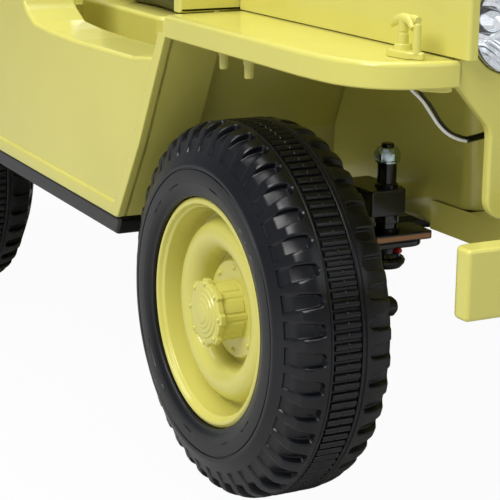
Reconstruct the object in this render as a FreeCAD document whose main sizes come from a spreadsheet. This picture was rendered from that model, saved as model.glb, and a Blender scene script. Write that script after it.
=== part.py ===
import FreeCAD, Part
import math
import os

import Sketcher
from FreeCAD import Placement, Rotation, Vector

# A child's electric ride-on army 4x4. +X is forward, +Y is the car's left, +Z is up, in millimetres.
# The origin is on the ground, half way along the car.

SIZES = {
    "overall_length": 1174, "wheelbase": 640, "front_overhang": 262, "track": 570,
    # wheels
    "wheel_radius": 135, "tyre_width": 92, "centre_band": 28, "shoulder_drop": 6, "shoulder_width": 68,
    "side_drop": 29, "lug_depth": 6, "lug_foot_depth": 3, "groove_width": 7, "tyre_fit": 0.6,
    "rim_lip_radius": 82, "rim_lip_width": 83, "rim_wall": 4,
    "rim_step_radius": 71, "donut_radius": 54, "donut_half": 13, "donut_face": 31, "dish_face": 16,
    "hub_radius": 36, "hub_face": 18, "cap_radius": 23, "cap_depth": 24, "cap_boss_radius": 13,
    "cap_boss_height": 3, "cap_boss_bevel": 1, "axle_radius": 6, "running_gap": 0.05, "seat_gap": 0.3,
    # body
    "side_out": 322, "side_wall": 50, "side_bottom": 169, "side_rise": 11, "sill_height": 15,
    "corner_setback": 160, "edge_bend_setback": 120, "edge_bend_z": 235, "edge_top_setback": 76,
    "fender_top": 337, "edge_lean": 3, "ledge_lip": 1,
    "ledge_z": 297, "ledge_rear_reach": 100, "ledge_rise": 7, "side_top": 410, "arch_radius": 152,
    "panel_wall": 20, "sheet": 8, "floor_z": 190, "toe_setback": 9,
    "floor_lap": 2, "well_clearance": 19, "well_top": 286, "tub_floor_z": 200,
    "fender_start_setback": 87, "fender_skirt": 17, "fender_wall": 3.5, "fender_nose_gap": 50,
    "tub_clearance": 31, "tub_front_reach": 63, "tub_bottom": 184, "tub_corner": 14,
    "cowl_setback": 125, "cowl_front_setback": 78, "cowl_inset": 10, "cowl_top": 432,
    "cowl_plate_inset": 13, "cowl_plate_wall": 12,
    "bonnet_rear_inset": 1, "bonnet_front_inset": 9, "bonnet_lap": 20, "bonnet_top": 430,
    "bonnet_wall": 4, "bonnet_round": 22, "grille_setback": 79, "grille_wall": 8, "grille_inset": 71,
    "grille_foot": 232, "grille_foot_inset": 26, "grille_arch_drop": 20, "grille_low": 293,
    "grille_leg": 46, "slot_width": 14, "slot_low": 325, "slot_high": 405, "lamp_margin": 34,
    "lamp_inset": 41, "lamp_z": 356, "lamp_radius": 30, "lamp_depth": 30, "lens_depth": 6,
    "lamp_rim": 3, "lamp_fit": 0.6, "bonnet_clearance": 0.9,
    "horn_width": 24, "horn_gap": 2, "horn_height": 22, "horn_drop": 2, "horn_lap": 3,
    "bumper_y": 288, "bumper_low": 192, "bumper_high": 236, "bumper_depth": 18, "bumper_round": 3,
    "bumper_end_round": 15, "bumperette_height": 37,
    "bumperette_inset": 82, "bumperette_width": 70, "bumperette_depth": 40,
    # front end
    "kingpin_inset": 107, "kingpin_radius": 6, "beam_half": 15, "beam_end": 22, "sleeve_top": 232,
    "beam_lift": 10, "block_inner": 8, "bar_front": 20, "bar_rear": 37, "arm_inner": 32,
    "sleeve_radius": 7.4, "nut_radius": 10.4, "nut_height": 9, "pin_top": 246, "arm_low": 174, "arm_wall": 6,
    "arm_length": 60, "arm_half": 16, "flange_inset": 68, "flange_wall": 8, "flange_half": 26,
    "gearbox_radius": 32, "gearbox_drop": 14, "gearbox_width": 30, "knob_radius": 8, "knob_length": 20,
    "tie_radius": 5, "tie_pin_radius": 4, "bracket_width": 30,
    # cabin
    "pedestal_setback": 35, "pedestal_length": 170, "pedestal_side_gap": 47, "seat_z": 306,
    "seat_height": 36, "seat_length": 192, "seat_width": 205, "seat_split": 12, "cushion_edge": 8,
    "back_height": 170, "back_wall": 34, "screen_bottom": 440, "screen_top": 640, "screen_setback": 100,
    "screen_wall": 14, "screen_bar": 22,
    "screen_inset": 4, "pane_wall": 3, "wheel_y": 118, "column_radius": 9, "column_length": 78,
    "column_z": 398, "column_tilt": 55, "steer_ring": 82, "steer_tube": 8,
    "steer_hub": 24, "steer_spoke": 14,
    "tail_lamp_radius": 22, "tail_lamp_inset": 37, "tail_lamp_z": 350, "tail_lamp_depth": 12,
    "spare_z": 305, "carrier_radius": 30, "latch_setback": 33, "latch_gap": 12, "latch_base_x": 14,
    "latch_base_y": 8, "latch_base_height": 5, "latch_post": 4, "latch_post_top": 362,
    "latch_bar": 14, "overrun": 5,
}
COUNTS = {"lug_count": 42, "rim_sides": 14, "cap_sides": 12, "ring_sides": 18, "lamp_sides": 16,
          "nut_sides": 6, "shaft_sides": 10, "tube_sides": 6, "slot_count": 8}

doc = FreeCAD.newDocument("Army4x4")
sheet = doc.addObject("Spreadsheet::Sheet", "Sizes")
for row, (word, number) in enumerate({**SIZES, **COUNTS}.items(), start=1):
    sheet.set(f"A{row}", word)
    sheet.set(f"B{row}", str(number))
    sheet.setAlias(f"B{row}", word)
doc.recompute()


class Length:
    """A number together with the sheet formula that gives it."""

    def __init__(self, value, formula):
        self.value = float(value)
        self.formula = formula

    def __add__(self, other):
        other = length(other)
        return Length(self.value + other.value, f"({self.formula} + {other.formula})")

    def __sub__(self, other):
        other = length(other)
        return Length(self.value - other.value, f"({self.formula} - {other.formula})")

    def __mul__(self, other):
        other = length(other)
        return Length(self.value * other.value, f"({self.formula} * {other.formula})")

    def __truediv__(self, other):
        other = length(other)
        return Length(self.value / other.value, f"({self.formula} / {other.formula})")

    def __neg__(self):
        return Length(-self.value, f"(0 - {self.formula})")

    def __radd__(self, other):
        return length(other) + self

    def __rsub__(self, other):
        return length(other) - self

    def __rmul__(self, other):
        return length(other) * self


def length(number):
    if isinstance(number, Length):
        return number
    return Length(number, f"({float(number)!r})")


class Named:
    """The sheet's lengths by name."""

    def __getattr__(self, word):
        return Length(float(getattr(sheet, word)), f"Sizes.{word}")


S = Named()
ZERO = length(0)
AXLE_F = S.overall_length / 2 - S.front_overhang
AXLE_R = AXLE_F - S.wheelbase
WHEEL_Y = S.track / 2
SIDE_IN = S.side_out - S.side_wall
REAR_FACE = S.overall_length / 2 - S.tyre_width - S.seat_gap
CORNER_X = AXLE_F - S.corner_setback
EDGE_BEND_X = AXLE_F - S.edge_bend_setback
EDGE_TOP_X = AXLE_F - S.edge_top_setback
FENDER_START_X = AXLE_F - S.fender_start_setback
COWL_X = AXLE_F - S.cowl_setback
COWL_FRONT_X = AXLE_F - S.cowl_front_setback
SCREEN_X = AXLE_F - S.screen_setback
TUB_FRONT_X = AXLE_F + S.tub_front_reach
BUMPER_BACK = S.overall_length / 2 - S.bumper_depth
FENDER_END_X = BUMPER_BACK - S.fender_nose_gap
GRILLE_X = S.overall_length / 2 - S.grille_setback
BONNET_FRONT_X = GRILLE_X + S.bonnet_lap
FLOOR_REAR = AXLE_R + S.arch_radius - S.floor_lap
PEDESTAL_REAR = FLOOR_REAR + S.pedestal_setback
WELL_INNER_Y = WHEEL_Y - S.tyre_width / 2 - S.well_clearance
KINGPIN_Y = WHEEL_Y - S.kingpin_inset
FLANGE_Y = WHEEL_Y - S.flange_inset
TUB_Y = KINGPIN_Y - S.tub_clearance
COWL_Y = SIDE_IN - S.cowl_inset
BONNET_REAR_Y = COWL_Y - S.bonnet_rear_inset
BONNET_FRONT_Y = COWL_Y - S.bonnet_front_inset
GRILLE_Y = S.side_out - S.grille_inset
LAMP_Y = BONNET_FRONT_Y - S.lamp_inset
SCREEN_Y = COWL_Y - S.screen_inset
PARTS = []
# The wing's rim in plan, as shares of its length and of the side's place across the car.
fender_rim_shares = [(0.73, 1), (0.81, 0.992), (0.87, 0.977), (0.925, 0.95), (0.962, 0.912),
                     (0.985, 0.868), (1, 0.82)]
# The bumper's rounded rear corner, as shares of its round along and across the car.
bumper_end_shares = [(0, 1), (0.076, 0.617), (0.293, 0.293), (0.617, 0.076), (1, 0)]
lamp_throat_share, lens_face_share, tail_face_share = 0.45, 0.6, 0.9


def part(shape_object, label):
    shape_object.Label = label
    PARTS.append(shape_object)
    return shape_object


def new_body(name):
    return doc.addObject("PartDesign::Body", name)


def plane_of(body, role):
    return [feature for feature in body.Origin.OriginFeatures if feature.Role == role][0]


def sketch(body, plane, height, loops):
    """Closed loops on one of the body's planes: a loop is points (u, v), or a circle (u, v, radius)."""
    drawing = body.newObject("Sketcher::SketchObject", body.Name + "Sketch")
    drawing.AttachmentSupport = [(plane_of(body, plane + "_Plane"), "")]
    drawing.MapMode = "FlatFace"
    drawing.setExpression("AttachmentOffset.Base.z", length(height).formula)
    for loop in loops:
        if isinstance(loop, tuple):
            u, v, radius = loop
            centre = Vector(u.value, v.value, 0)
            index = drawing.addGeometry(Part.Circle(centre, Vector(0, 0, 1), radius.value), False)
            pin_point(drawing, index, 3, u, v)
            fix = drawing.addConstraint(Sketcher.Constraint("Radius", index, radius.value))
            drawing.setExpression(f"Constraints[{fix}]", radius.formula)
            continue
        points = [(length(u), length(v)) for u, v in loop]
        first = drawing.GeometryCount
        for here, there in zip(points, points[1:] + points[:1]):
            start = Vector(here[0].value, here[1].value, 0)
            end = Vector(there[0].value, there[1].value, 0)
            drawing.addGeometry(Part.LineSegment(start, end), False)
        for step in range(len(points)):
            joined = first + (step + 1) % len(points)
            drawing.addConstraint(Sketcher.Constraint("Coincident", first + step, 2, joined, 1))
        for step, (u, v) in enumerate(points):
            pin_point(drawing, first + step, 1, u, v)
    return drawing


def pin_point(drawing, index, end, u, v):
    for kind, measure in (("DistanceX", u), ("DistanceY", v)):
        fix = drawing.addConstraint(Sketcher.Constraint(kind, -1, 1, index, end, measure.value))
        drawing.setExpression(f"Constraints[{fix}]", measure.formula)


def pad(body, plane, low, high, loops):
    """Fills the loops from low to high along the plane's own axis."""
    low, high = length(low), length(high)
    base = -high if plane == "XZ" else low
    drawing = sketch(body, plane, base, loops)
    filled = body.newObject("PartDesign::Pad", body.Name + "Pad")
    filled.Profile = drawing
    filled.setExpression("Length", (high - low).formula)
    doc.recompute()
    return filled


def pocket(body, plane, low, high, loops):
    """Cuts the loops from low to high along the plane's own axis."""
    low, high = length(low), length(high)
    base = -low if plane == "XZ" else high
    drawing = sketch(body, plane, base, loops)
    cut = body.newObject("PartDesign::Pocket", body.Name + "Pocket")
    cut.Profile = drawing
    cut.setExpression("Length", (high - low).formula)
    doc.recompute()
    return cut


def soften(body, radius, chosen):
    """Rounds the edges of the body's last feature that the test picks."""
    feature = body.Tip
    names = [f"Edge{i}" for i, edge in enumerate(feature.Shape.Edges, start=1) if chosen(edge)]
    rounded = body.newObject("PartDesign::Fillet", body.Name + "Round")
    rounded.Base = (feature, names)
    rounded.setExpression("Radius", radius.formula)
    doc.recompute()
    return rounded


def bevel(body, size):
    """Cuts every edge of the body's last feature back by the size."""
    feature = body.Tip
    names = [f"Edge{i}" for i in range(1, len(feature.Shape.Edges) + 1)]
    cut_back = body.newObject("PartDesign::Chamfer", body.Name + "Bevel")
    cut_back.Base = (feature, names)
    cut_back.setExpression("Size", size.formula)
    doc.recompute()
    return cut_back


def along(edge, axis):
    """True for a straight edge along one axis."""
    if edge.Curve.TypeId != "Part::GeomLine":
        return False
    return abs(edge.Curve.Direction.dot(axis)) > 0.999


def place(shape_object, x=ZERO, y=ZERO, z=ZERO, rotation=None):
    if rotation is not None:
        shape_object.Placement = Placement(Vector(0, 0, 0), rotation)
    for word, measure in zip("xyz", (x, y, z)):
        shape_object.setExpression(f"Placement.Base.{word}", length(measure).formula)
    return shape_object


def mirrored(source, name):
    other = doc.addObject("Part::Mirroring", name)
    other.Source = source
    other.Normal = Vector(0, 1, 0)
    return other


def together(name, sources):
    group = doc.addObject("Part::Compound", name)
    group.Links = sources
    return group


def fused(name, sources):
    whole = doc.addObject("Part::MultiFuse", name)
    whole.Shapes = sources
    return whole


def cut(name, base, tool):
    left = doc.addObject("Part::Cut", name)
    left.Base = base
    left.Tool = tool
    return left


def polygon(u, v, radius, sides):
    return [(u + radius * math.cos(2 * math.pi * k / sides), v + radius * math.sin(2 * math.pi * k / sides))
            for k in range(sides)]


def ring(u, v, radius, sides):
    """A polygon whose flats lie at the radius, turned as the faceted pieces are."""
    step = 2 * math.pi / sides
    grow = 1 / math.cos(step / 2)
    turns = [(k - 0.5) * step for k in range(sides)]
    return [(u + radius * (grow * math.cos(turn)), v + radius * (grow * math.sin(turn))) for turn in turns]


def rectangle(u0, v0, u1, v1):
    return [(u0, v0), (u1, v0), (u1, v1), (u0, v1)]


def block(name, x0, x1, y0, y1, z0, z1):
    body = new_body(name)
    pad(body, "XY", z0, z1, [rectangle(length(x0), length(y0), length(x1), length(y1))])
    return body


# Wheels

def around(axis, along_axis, radius, angle):
    """A point beside an axis; on Y the angle is counted from straight down."""
    u, v = radius * math.cos(angle), radius * math.sin(angle)
    places = {"X": (along_axis, u, v), "Y": (v, along_axis, -u), "Z": (u, v, along_axis)}
    return Vector(*places[axis])


def flat(*points):
    return Part.Face(Part.makePolygon(list(points) + [points[0]]))


def closed(faces):
    shell = Part.makeShell(faces)
    shell.sewShape()
    solid = Part.makeSolid(Part.Shell(shell.Faces))
    if solid.Volume < 0:
        solid.reverse()
    return solid


def faceted(name, axis, profile, sides):
    """A turned piece with flat facets: the profile's points are (place on the axis, radius)."""
    points = [(length(place).value, length(radius).value) for place, radius in profile]
    step = 2 * math.pi / sides
    grow = 1 / math.cos(step / 2)
    faces = []
    for (a, r), (b, q) in zip(points, points[1:] + points[:1]):
        for k in range(sides):
            low, high = (k - 0.5) * step, (k + 0.5) * step
            corners = [around(axis, a, r * grow, low), around(axis, a, r * grow, high),
                       around(axis, b, q * grow, high), around(axis, b, q * grow, low)]
            if r == 0:
                corners = corners[1:]
            if q == 0:
                corners = corners[:-1]
            if len(corners) > 2:
                faces.append(flat(*corners))
    piece = doc.addObject("Part::Feature", name)
    piece.Shape = closed(faces)
    return piece


def make_tyre():
    """One flat facet to each lug of the centre band; the grooves open at the outer side only."""
    lugs = int(sheet.lug_count)
    step = 2 * math.pi / lugs
    half, band, shoulder = (S.tyre_width / 2).value, (S.centre_band / 2).value, (S.shoulder_width / 2).value
    crown = S.wheel_radius.value / math.cos(step / 2)
    edge = (S.wheel_radius - S.shoulder_drop).value
    foot = (S.wheel_radius - S.side_drop).value
    lug = step / 2 - math.atan((S.groove_width / 2).value / edge)
    bottom, foot_bottom = edge - S.lug_depth.value, foot - S.lug_foot_depth.value
    bore_sides = int(sheet.rim_sides)
    bore_step = 2 * math.pi / bore_sides
    bore = (S.rim_lip_radius + S.tyre_fit).value / math.cos(bore_step / 2)
    faces, outer_rims = [], {-1: [], 1: []}
    for k in range(lugs):
        middle = k * step
        low, high = middle - step / 2, middle + step / 2
        faces.append(flat(*[around("Y", y, crown, a) for y, a in
                            ((-band, low), (-band, high), (band, high), (band, low))]))
        for side in (-1, 1):
            start, end = around("Y", side * band, crown, low), around("Y", side * band, crown, high)
            lug_low = around("Y", side * shoulder, edge, middle - lug)
            lug_high = around("Y", side * shoulder, edge, middle + lug)
            next_lug = around("Y", side * shoulder, edge, middle + step - lug)
            valley = around("Y", side * shoulder, bottom, high)
            faces.append(flat(start, end, lug_high, lug_low))
            faces.append(flat(end, lug_high, valley))
            faces.append(flat(end, valley, next_lug))
            if side < 0:
                foot_low = around("Y", side * half, foot, middle - lug)
                foot_high = around("Y", side * half, foot, middle + lug)
                next_foot = around("Y", side * half, foot, middle + step - lug)
                foot_valley = around("Y", side * half, foot_bottom, high)
                faces.append(flat(lug_low, lug_high, foot_high, foot_low))
                faces += [flat(lug_high, foot_high, valley), flat(foot_high, foot_valley, valley),
                          flat(next_lug, valley, next_foot), flat(next_foot, valley, foot_valley)]
                outer_rims[side] += [foot_low, foot_high, foot_valley]
            else:
                foot_start = around("Y", side * half, foot, low)
                foot_end = around("Y", side * half, foot, high)
                faces.append(flat(lug_low, lug_high, foot_end, foot_start))
                faces += [flat(lug_high, foot_end, valley), flat(foot_end, next_lug, valley)]
                outer_rims[side] += [foot_start]
    for side, points in outer_rims.items():
        hole = [around("Y", side * half, bore, (k - 0.5) * bore_step) for k in range(bore_sides)]
        loops = [Part.makePolygon(points + points[:1]), Part.makePolygon(hole + hole[:1])]
        faces.append(Part.makeFace(loops, "Part::FaceMakerBullseye"))
    for k in range(bore_sides):
        low, high = (k - 0.5) * bore_step, (k + 0.5) * bore_step
        faces.append(flat(*[around("Y", y, bore, a) for y, a in
                            ((-half, low), (-half, high), (half, high), (half, low))]))
    tyre = doc.addObject("Part::Feature", "TyreMaster")
    tyre.Shape = closed(faces)
    return tyre


def make_rim():
    lip = S.rim_lip_width / 2
    wall = S.rim_wall
    back = -S.dish_face + wall
    profile = [(-S.hub_face, ZERO), (-S.hub_face, S.hub_radius),
               (-S.dish_face, S.donut_radius - S.donut_half),
               (-S.donut_face, S.donut_radius), (-S.dish_face, S.donut_radius + S.donut_half),
               (-lip, S.rim_step_radius + wall), (-lip, S.rim_lip_radius),
               (lip, S.rim_lip_radius), (lip, S.rim_lip_radius - wall), (back, S.rim_step_radius),
               (back, S.hub_radius), (S.hub_face, S.hub_radius - wall), (S.hub_face, ZERO)]
    turned = faceted("RimTurned", "Y", profile, int(sheet.rim_sides))
    bore = new_body("RimBore")
    pad(bore, "XZ", -lip, lip, [(ZERO, ZERO, S.axle_radius + S.running_gap)])
    return cut("RimMaster", turned, bore)


def make_cap():
    back = S.hub_face + S.seat_gap
    face = back + S.cap_depth
    boss, boss_face = S.cap_boss_radius, -face - S.cap_boss_height
    profile = [(-back, ZERO), (-back, S.cap_radius), (-face, S.cap_radius - S.rim_wall / 2), (-face, boss),
               (boss_face, boss - S.cap_boss_bevel), (boss_face, ZERO)]
    return faceted("CapMaster", "Y", profile, int(sheet.cap_sides))


def make_wheels():
    masters = {"tyre": make_tyre(), "rim": make_rim(), "hub_cap": make_cap()}
    corners = {"fr": (AXLE_F, -WHEEL_Y, 0), "fl": (AXLE_F, WHEEL_Y, 180),
               "rr": (AXLE_R, -WHEEL_Y, 0), "rl": (AXLE_R, WHEEL_Y, 180)}
    for corner, (x, y, turned) in corners.items():
        for kind, master in masters.items():
            copy = together(f"{kind}_{corner}", [master])
            place(copy, x, y, S.wheel_radius, Rotation(Vector(0, 0, 1), turned))
            part(copy, f"{kind}_{corner}")
    spare_x = -(REAR_FACE + S.seat_gap + S.tyre_width / 2)
    for kind in ("tyre", "rim", "hub_cap"):
        copy = together(f"{kind}_spare", [masters[kind]])
        place(copy, spare_x, ZERO, S.spare_z, Rotation(Vector(0, 0, 1), -90))
        part(copy, f"{kind}_spare")
    carrier = new_body("SpareCarrier")
    pad(carrier, "YZ", spare_x + S.hub_face + S.seat_gap, -REAR_FACE - S.seat_gap,
        [polygon(ZERO, S.spare_z, S.carrier_radius, int(sheet.shaft_sides))])
    part(carrier, "spare_carrier")


# Body

def side_outline():
    arch_x = AXLE_R
    rise = S.side_bottom + S.side_rise
    top_x = PEDESTAL_REAR + S.ledge_rear_reach
    ledge = S.ledge_z + S.ledge_lip
    return [
        (CORNER_X, S.side_bottom), (EDGE_BEND_X, S.edge_bend_z), (EDGE_TOP_X, S.fender_top - S.sheet / 2),
        (FENDER_START_X, S.fender_top - S.sheet / 2),
        (FENDER_START_X - S.edge_lean, S.ledge_z + S.ledge_rise),
        (EDGE_BEND_X - S.panel_wall, ledge), (ZERO, ledge), (top_x, S.ledge_z + S.ledge_rise * 2),
        (top_x - S.ledge_rise, S.side_top), (-REAR_FACE, S.side_top), (-REAR_FACE, S.tub_floor_z),
        (arch_x, S.tub_floor_z), (arch_x, rise), (arch_x + S.arch_radius, rise)]


def make_side():
    body = new_body("SideRight")
    pad(body, "XZ", -S.side_out, -SIDE_IN, [side_outline()])
    arch = (AXLE_R, S.wheel_radius, S.arch_radius)
    pocket(body, "XZ", -S.side_out - S.overrun, -SIDE_IN + S.overrun, [arch])
    part(body, "body_side_r")
    part(mirrored(body, "SideLeft"), "body_side_l")


def make_sills():
    body = new_body("SillRight")
    rise = S.side_bottom + S.side_rise
    gap = S.seat_gap
    back = AXLE_R + S.arch_radius
    outline = [(CORNER_X, S.side_bottom - gap), (back, rise - gap), (back, rise - gap - S.sill_height),
               (CORNER_X - S.sheet, S.side_bottom - gap - S.sill_height)]
    pad(body, "XZ", -S.side_out, -SIDE_IN, [outline])
    part(body, "sill_r")
    part(mirrored(body, "SillLeft"), "sill_l")


def make_floor():
    body = new_body("FloorPan")
    width = SIDE_IN - S.seat_gap
    wall = S.sheet
    low, high = S.floor_z, S.floor_z + wall
    front = CORNER_X - S.toe_setback
    bend = EDGE_BEND_X - S.toe_setback
    top_x = FENDER_START_X - S.seat_gap
    rear = FLOOR_REAR
    outline = [(rear, low), (front, low), (bend, S.edge_bend_z), (top_x, S.fender_top - wall),
               (top_x, S.fender_top), (top_x - wall, S.fender_top), (bend - wall, S.edge_bend_z + wall / 2),
               (front - wall, high), (rear + wall, high), (rear + wall, S.well_top + wall),
               (rear, S.well_top + wall)]
    pad(body, "XZ", -width, width, [outline])
    part(body, "floor_pan")


def make_rear():
    gap = S.seat_gap
    wall = S.sheet
    edge, inner = SIDE_IN - gap, WELL_INNER_Y
    right = [(edge, S.well_top), (edge, S.well_top + wall), (inner - wall, S.well_top + wall),
             (inner - wall, S.tub_floor_z + wall)]
    left = [(-u, v) for u, v in reversed(right)]
    low = [(-inner, S.tub_floor_z), (inner, S.tub_floor_z), (inner, S.well_top)]
    body = new_body("RearTub")
    pad(body, "YZ", -REAR_FACE + S.panel_wall + gap, FLOOR_REAR - gap,
        [right + left + [(-inner, S.well_top)] + low])
    part(body, "rear_tub")
    panel = new_body("RearPanel")
    pad(panel, "YZ", -REAR_FACE, -REAR_FACE + S.panel_wall,
        [rectangle(-edge, S.tub_floor_z, edge, S.side_top)])
    part(panel, "rear_panel")


def make_front_tub():
    gap = S.seat_gap
    body = new_body("FrontTub")
    rear = EDGE_BEND_X - S.toe_setback + gap
    outline = [(rear, S.tub_bottom), (TUB_FRONT_X, S.tub_bottom), (TUB_FRONT_X, S.fender_top),
               (FENDER_START_X, S.fender_top), (FENDER_START_X, S.fender_top - S.sheet),
               (rear, S.edge_bend_z)]
    pad(body, "XZ", -TUB_Y, TUB_Y, [outline])
    front_line = (TUB_FRONT_X - gap).value
    soften(body, S.tub_corner,
           lambda edge: along(edge, Vector(0, 0, 1)) and edge.CenterOfMass.x > front_line)
    beam_top = S.tub_bottom + S.beam_half * 2
    beam_room = rectangle(AXLE_F - S.bar_rear - gap, S.tub_bottom + S.beam_lift - gap,
                          AXLE_F - S.bar_front + gap, beam_top + gap)
    pocket(body, "XZ", -TUB_Y - S.overrun, TUB_Y + S.overrun, [beam_room])
    part(body, "front_tub")


def make_fender():
    gap = S.seat_gap
    body = new_body("FenderRight")
    inner, out = TUB_Y + gap, S.side_out
    top = S.fender_top
    rear, front = EDGE_TOP_X + gap, FENDER_END_X
    nose = front - rear
    wall = S.fender_wall
    lamp_room = GRILLE_X + S.grille_wall - S.lamp_depth - gap * 2
    rim = [(rear + nose * u, -(out * v)) for u, v in fender_rim_shares]
    outline = [(rear, -inner), (rear, -S.side_out)] + rim + [
        (front, -GRILLE_Y - gap), (lamp_room, -GRILLE_Y - gap), (lamp_room, -inner)]
    pad(body, "XY", top - S.fender_skirt, top, [outline])
    inside = [(u - wall, v + wall) for u, v in rim]
    hollow = [(rear - S.overrun, -inner + S.overrun), (rear - S.overrun, -S.side_out + wall)] + inside + [
        (front - wall, -GRILLE_Y - gap - wall), (lamp_room - wall, -GRILLE_Y - gap - wall),
        (lamp_room - wall, -inner + S.overrun)]
    pocket(body, "XY", top - S.fender_skirt - S.overrun, top - wall, [hollow])
    part(body, "fender_r")
    part(mirrored(body, "FenderLeft"), "fender_l")


def make_cowl():
    body = new_body("Cowl")
    low = S.fender_top + S.seat_gap
    pad(body, "XZ", -COWL_Y, COWL_Y, [[
        (COWL_X + S.panel_wall, low), (COWL_FRONT_X, low), (COWL_FRONT_X, S.cowl_top - S.sheet),
        (COWL_FRONT_X - S.sheet, S.cowl_top), (COWL_X, S.cowl_top), (COWL_X, S.fender_top + S.panel_wall)]])
    reach = S.side_out - S.cowl_plate_inset
    top = S.cowl_top - S.sheet
    pad(body, "YZ", COWL_FRONT_X - S.cowl_plate_wall, COWL_FRONT_X, [[
        (-reach, low), (reach, low), (reach, top - S.panel_wall), (reach - S.panel_wall, top),
        (-reach + S.panel_wall, top), (-reach, top - S.panel_wall)]])
    part(body, "cowl")


def make_bonnet():
    gap = S.seat_gap
    rear, front = COWL_FRONT_X + gap * 2, BONNET_FRONT_X
    low, top = S.fender_top + gap * 2, S.bonnet_top
    wall = S.bonnet_wall
    body = new_body("Bonnet")
    outline = [(rear, -BONNET_REAR_Y), (front, -BONNET_FRONT_Y),
               (front, BONNET_FRONT_Y), (rear, BONNET_REAR_Y)]
    pad(body, "XY", low, top, [outline])
    level, aside = (top - gap).value, gap.value
    soften(body, S.bonnet_round,
           lambda edge: edge.CenterOfMass.z > level and abs(edge.CenterOfMass.y) > aside)
    solid = body.Tip
    faces = []
    for i, face in enumerate(solid.Shape.Faces, start=1):
        if face.Surface.TypeId != "Part::GeomPlane":
            continue
        normal = face.normalAt(0, 0)
        if abs(normal.x) > 0.999 or normal.z < -0.999:
            faces.append(f"Face{i}")
    shell = body.newObject("PartDesign::Thickness", "BonnetShell")
    shell.Base = (solid, faces)
    shell.Reversed = True
    shell.setExpression("Value", wall.formula)
    doc.recompute()
    part(body, "bonnet")


def make_grille():
    gap = S.seat_gap
    body = new_body("Grille")
    inside = BONNET_FRONT_Y - S.bonnet_wall - S.bonnet_clearance
    low_edge = S.fender_top - gap
    foot_out = GRILLE_Y - S.grille_foot_inset
    foot_in = foot_out - S.grille_leg
    top = S.bonnet_top - S.bonnet_wall
    right = [(foot_in, S.grille_low - S.grille_arch_drop), (foot_in, S.grille_foot),
             (foot_out, S.grille_foot), (foot_out, S.grille_low),
             (GRILLE_Y, low_edge - S.fender_skirt), (GRILLE_Y, low_edge), (inside, low_edge),
             (inside, top - S.bonnet_round), (inside - S.bonnet_round, top - S.bonnet_clearance)]
    left = [(-u, v) for u, v in reversed(right)]
    pad(body, "YZ", GRILLE_X, GRILLE_X + S.grille_wall, [right + left])
    slot_pitch = (LAMP_Y - S.lamp_radius - S.lamp_margin) * 2 / S_count("slot_count")
    holes = []
    for step in range(int(sheet.slot_count)):
        middle = (length(step) - (S_count("slot_count") - 1) / 2) * slot_pitch
        half = S.slot_width / 2
        holes.append(rectangle(middle - half, S.slot_low, middle + half, S.slot_high))
    lamp = S.lamp_radius + S.lamp_fit
    sides = int(sheet.lamp_sides)
    holes += [ring(LAMP_Y, S.lamp_z, lamp, sides), ring(-LAMP_Y, S.lamp_z, lamp, sides)]
    pocket(body, "YZ", GRILLE_X - S.overrun, GRILLE_X + S.grille_wall + S.overrun, holes)
    part(body, "grille_panel")


def S_count(word):
    return Length(float(getattr(sheet, word)), f"Sizes.{word}")


def make_lamps():
    radius, wall, gap = S.lamp_radius, S.lamp_rim, S.seat_gap
    face = GRILLE_X + S.grille_wall
    depth = S.lamp_depth
    sides = int(sheet.lamp_sides)
    throat = radius * lamp_throat_share
    profile = [(-depth, ZERO), (-depth, throat), (ZERO, radius), (ZERO, radius - wall),
               (-depth + wall, throat - wall), (-depth + wall, ZERO)]
    bowl = faceted("LampBowl", "X", profile, sides)
    place(bowl, face, -LAMP_Y, S.lamp_z)
    part(together("LampBowls", [bowl, mirrored(bowl, "LampBowlLeft")]), "headlamp_bowls")
    lens = faceted("LampLens", "X", [(gap, ZERO), (gap, radius), (S.lens_depth / 2, radius),
                                     (S.lens_depth, radius * lens_face_share), (S.lens_depth, ZERO)], sides)
    place(lens, face, -LAMP_Y, S.lamp_z)
    part(together("LampLenses", [lens, mirrored(lens, "LampLensLeft")]), "headlamp_lenses")


def make_horns_and_bumpers():
    gap = S.seat_gap
    face = S.overall_length / 2
    back = BUMPER_BACK
    near, side = TUB_Y + gap, TUB_Y + S.horn_lap
    inner = side - S.horn_width
    rear, neck = AXLE_F + S.beam_half + S.horn_gap, TUB_FRONT_X + gap
    low = S.tub_bottom - S.horn_drop
    horn = new_body("Horn")
    pad(horn, "XY", low, low + S.horn_height,
        [[(rear, -side), (back - gap, -side), (back - gap, -inner), (neck, -inner),
          (neck, -near), (rear, -near)]])
    part(together("Horns", [horn, mirrored(horn, "HornLeft")]), "frame_horns")
    bumper = new_body("Bumper")
    end = S.bumper_end_round
    left_end = [(back + end * u, S.bumper_y - end * v) for u, v in bumper_end_shares]
    right_end = [(u, -v) for u, v in reversed(left_end)]
    pad(bumper, "XY", S.bumper_low, S.bumper_high,
        [left_end + [(face, S.bumper_y), (face, -S.bumper_y)] + right_end])
    front_line = (face - gap).value
    soften(bumper, S.bumper_round,
           lambda edge: along(edge, Vector(0, 1, 0)) and edge.CenterOfMass.x > front_line)
    part(bumper, "front_bumper")
    rear = -REAR_FACE - gap
    low = S.tub_floor_z + S.sheet
    bumperette_y = SIDE_IN - S.bumperette_inset
    left = block("Bumperette", rear - S.bumperette_depth, rear, bumperette_y,
                 bumperette_y + S.bumperette_width, low, low + S.bumperette_height)
    part(together("Bumperettes", [left, mirrored(left, "BumperetteRight")]), "rear_bumpers")


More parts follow.
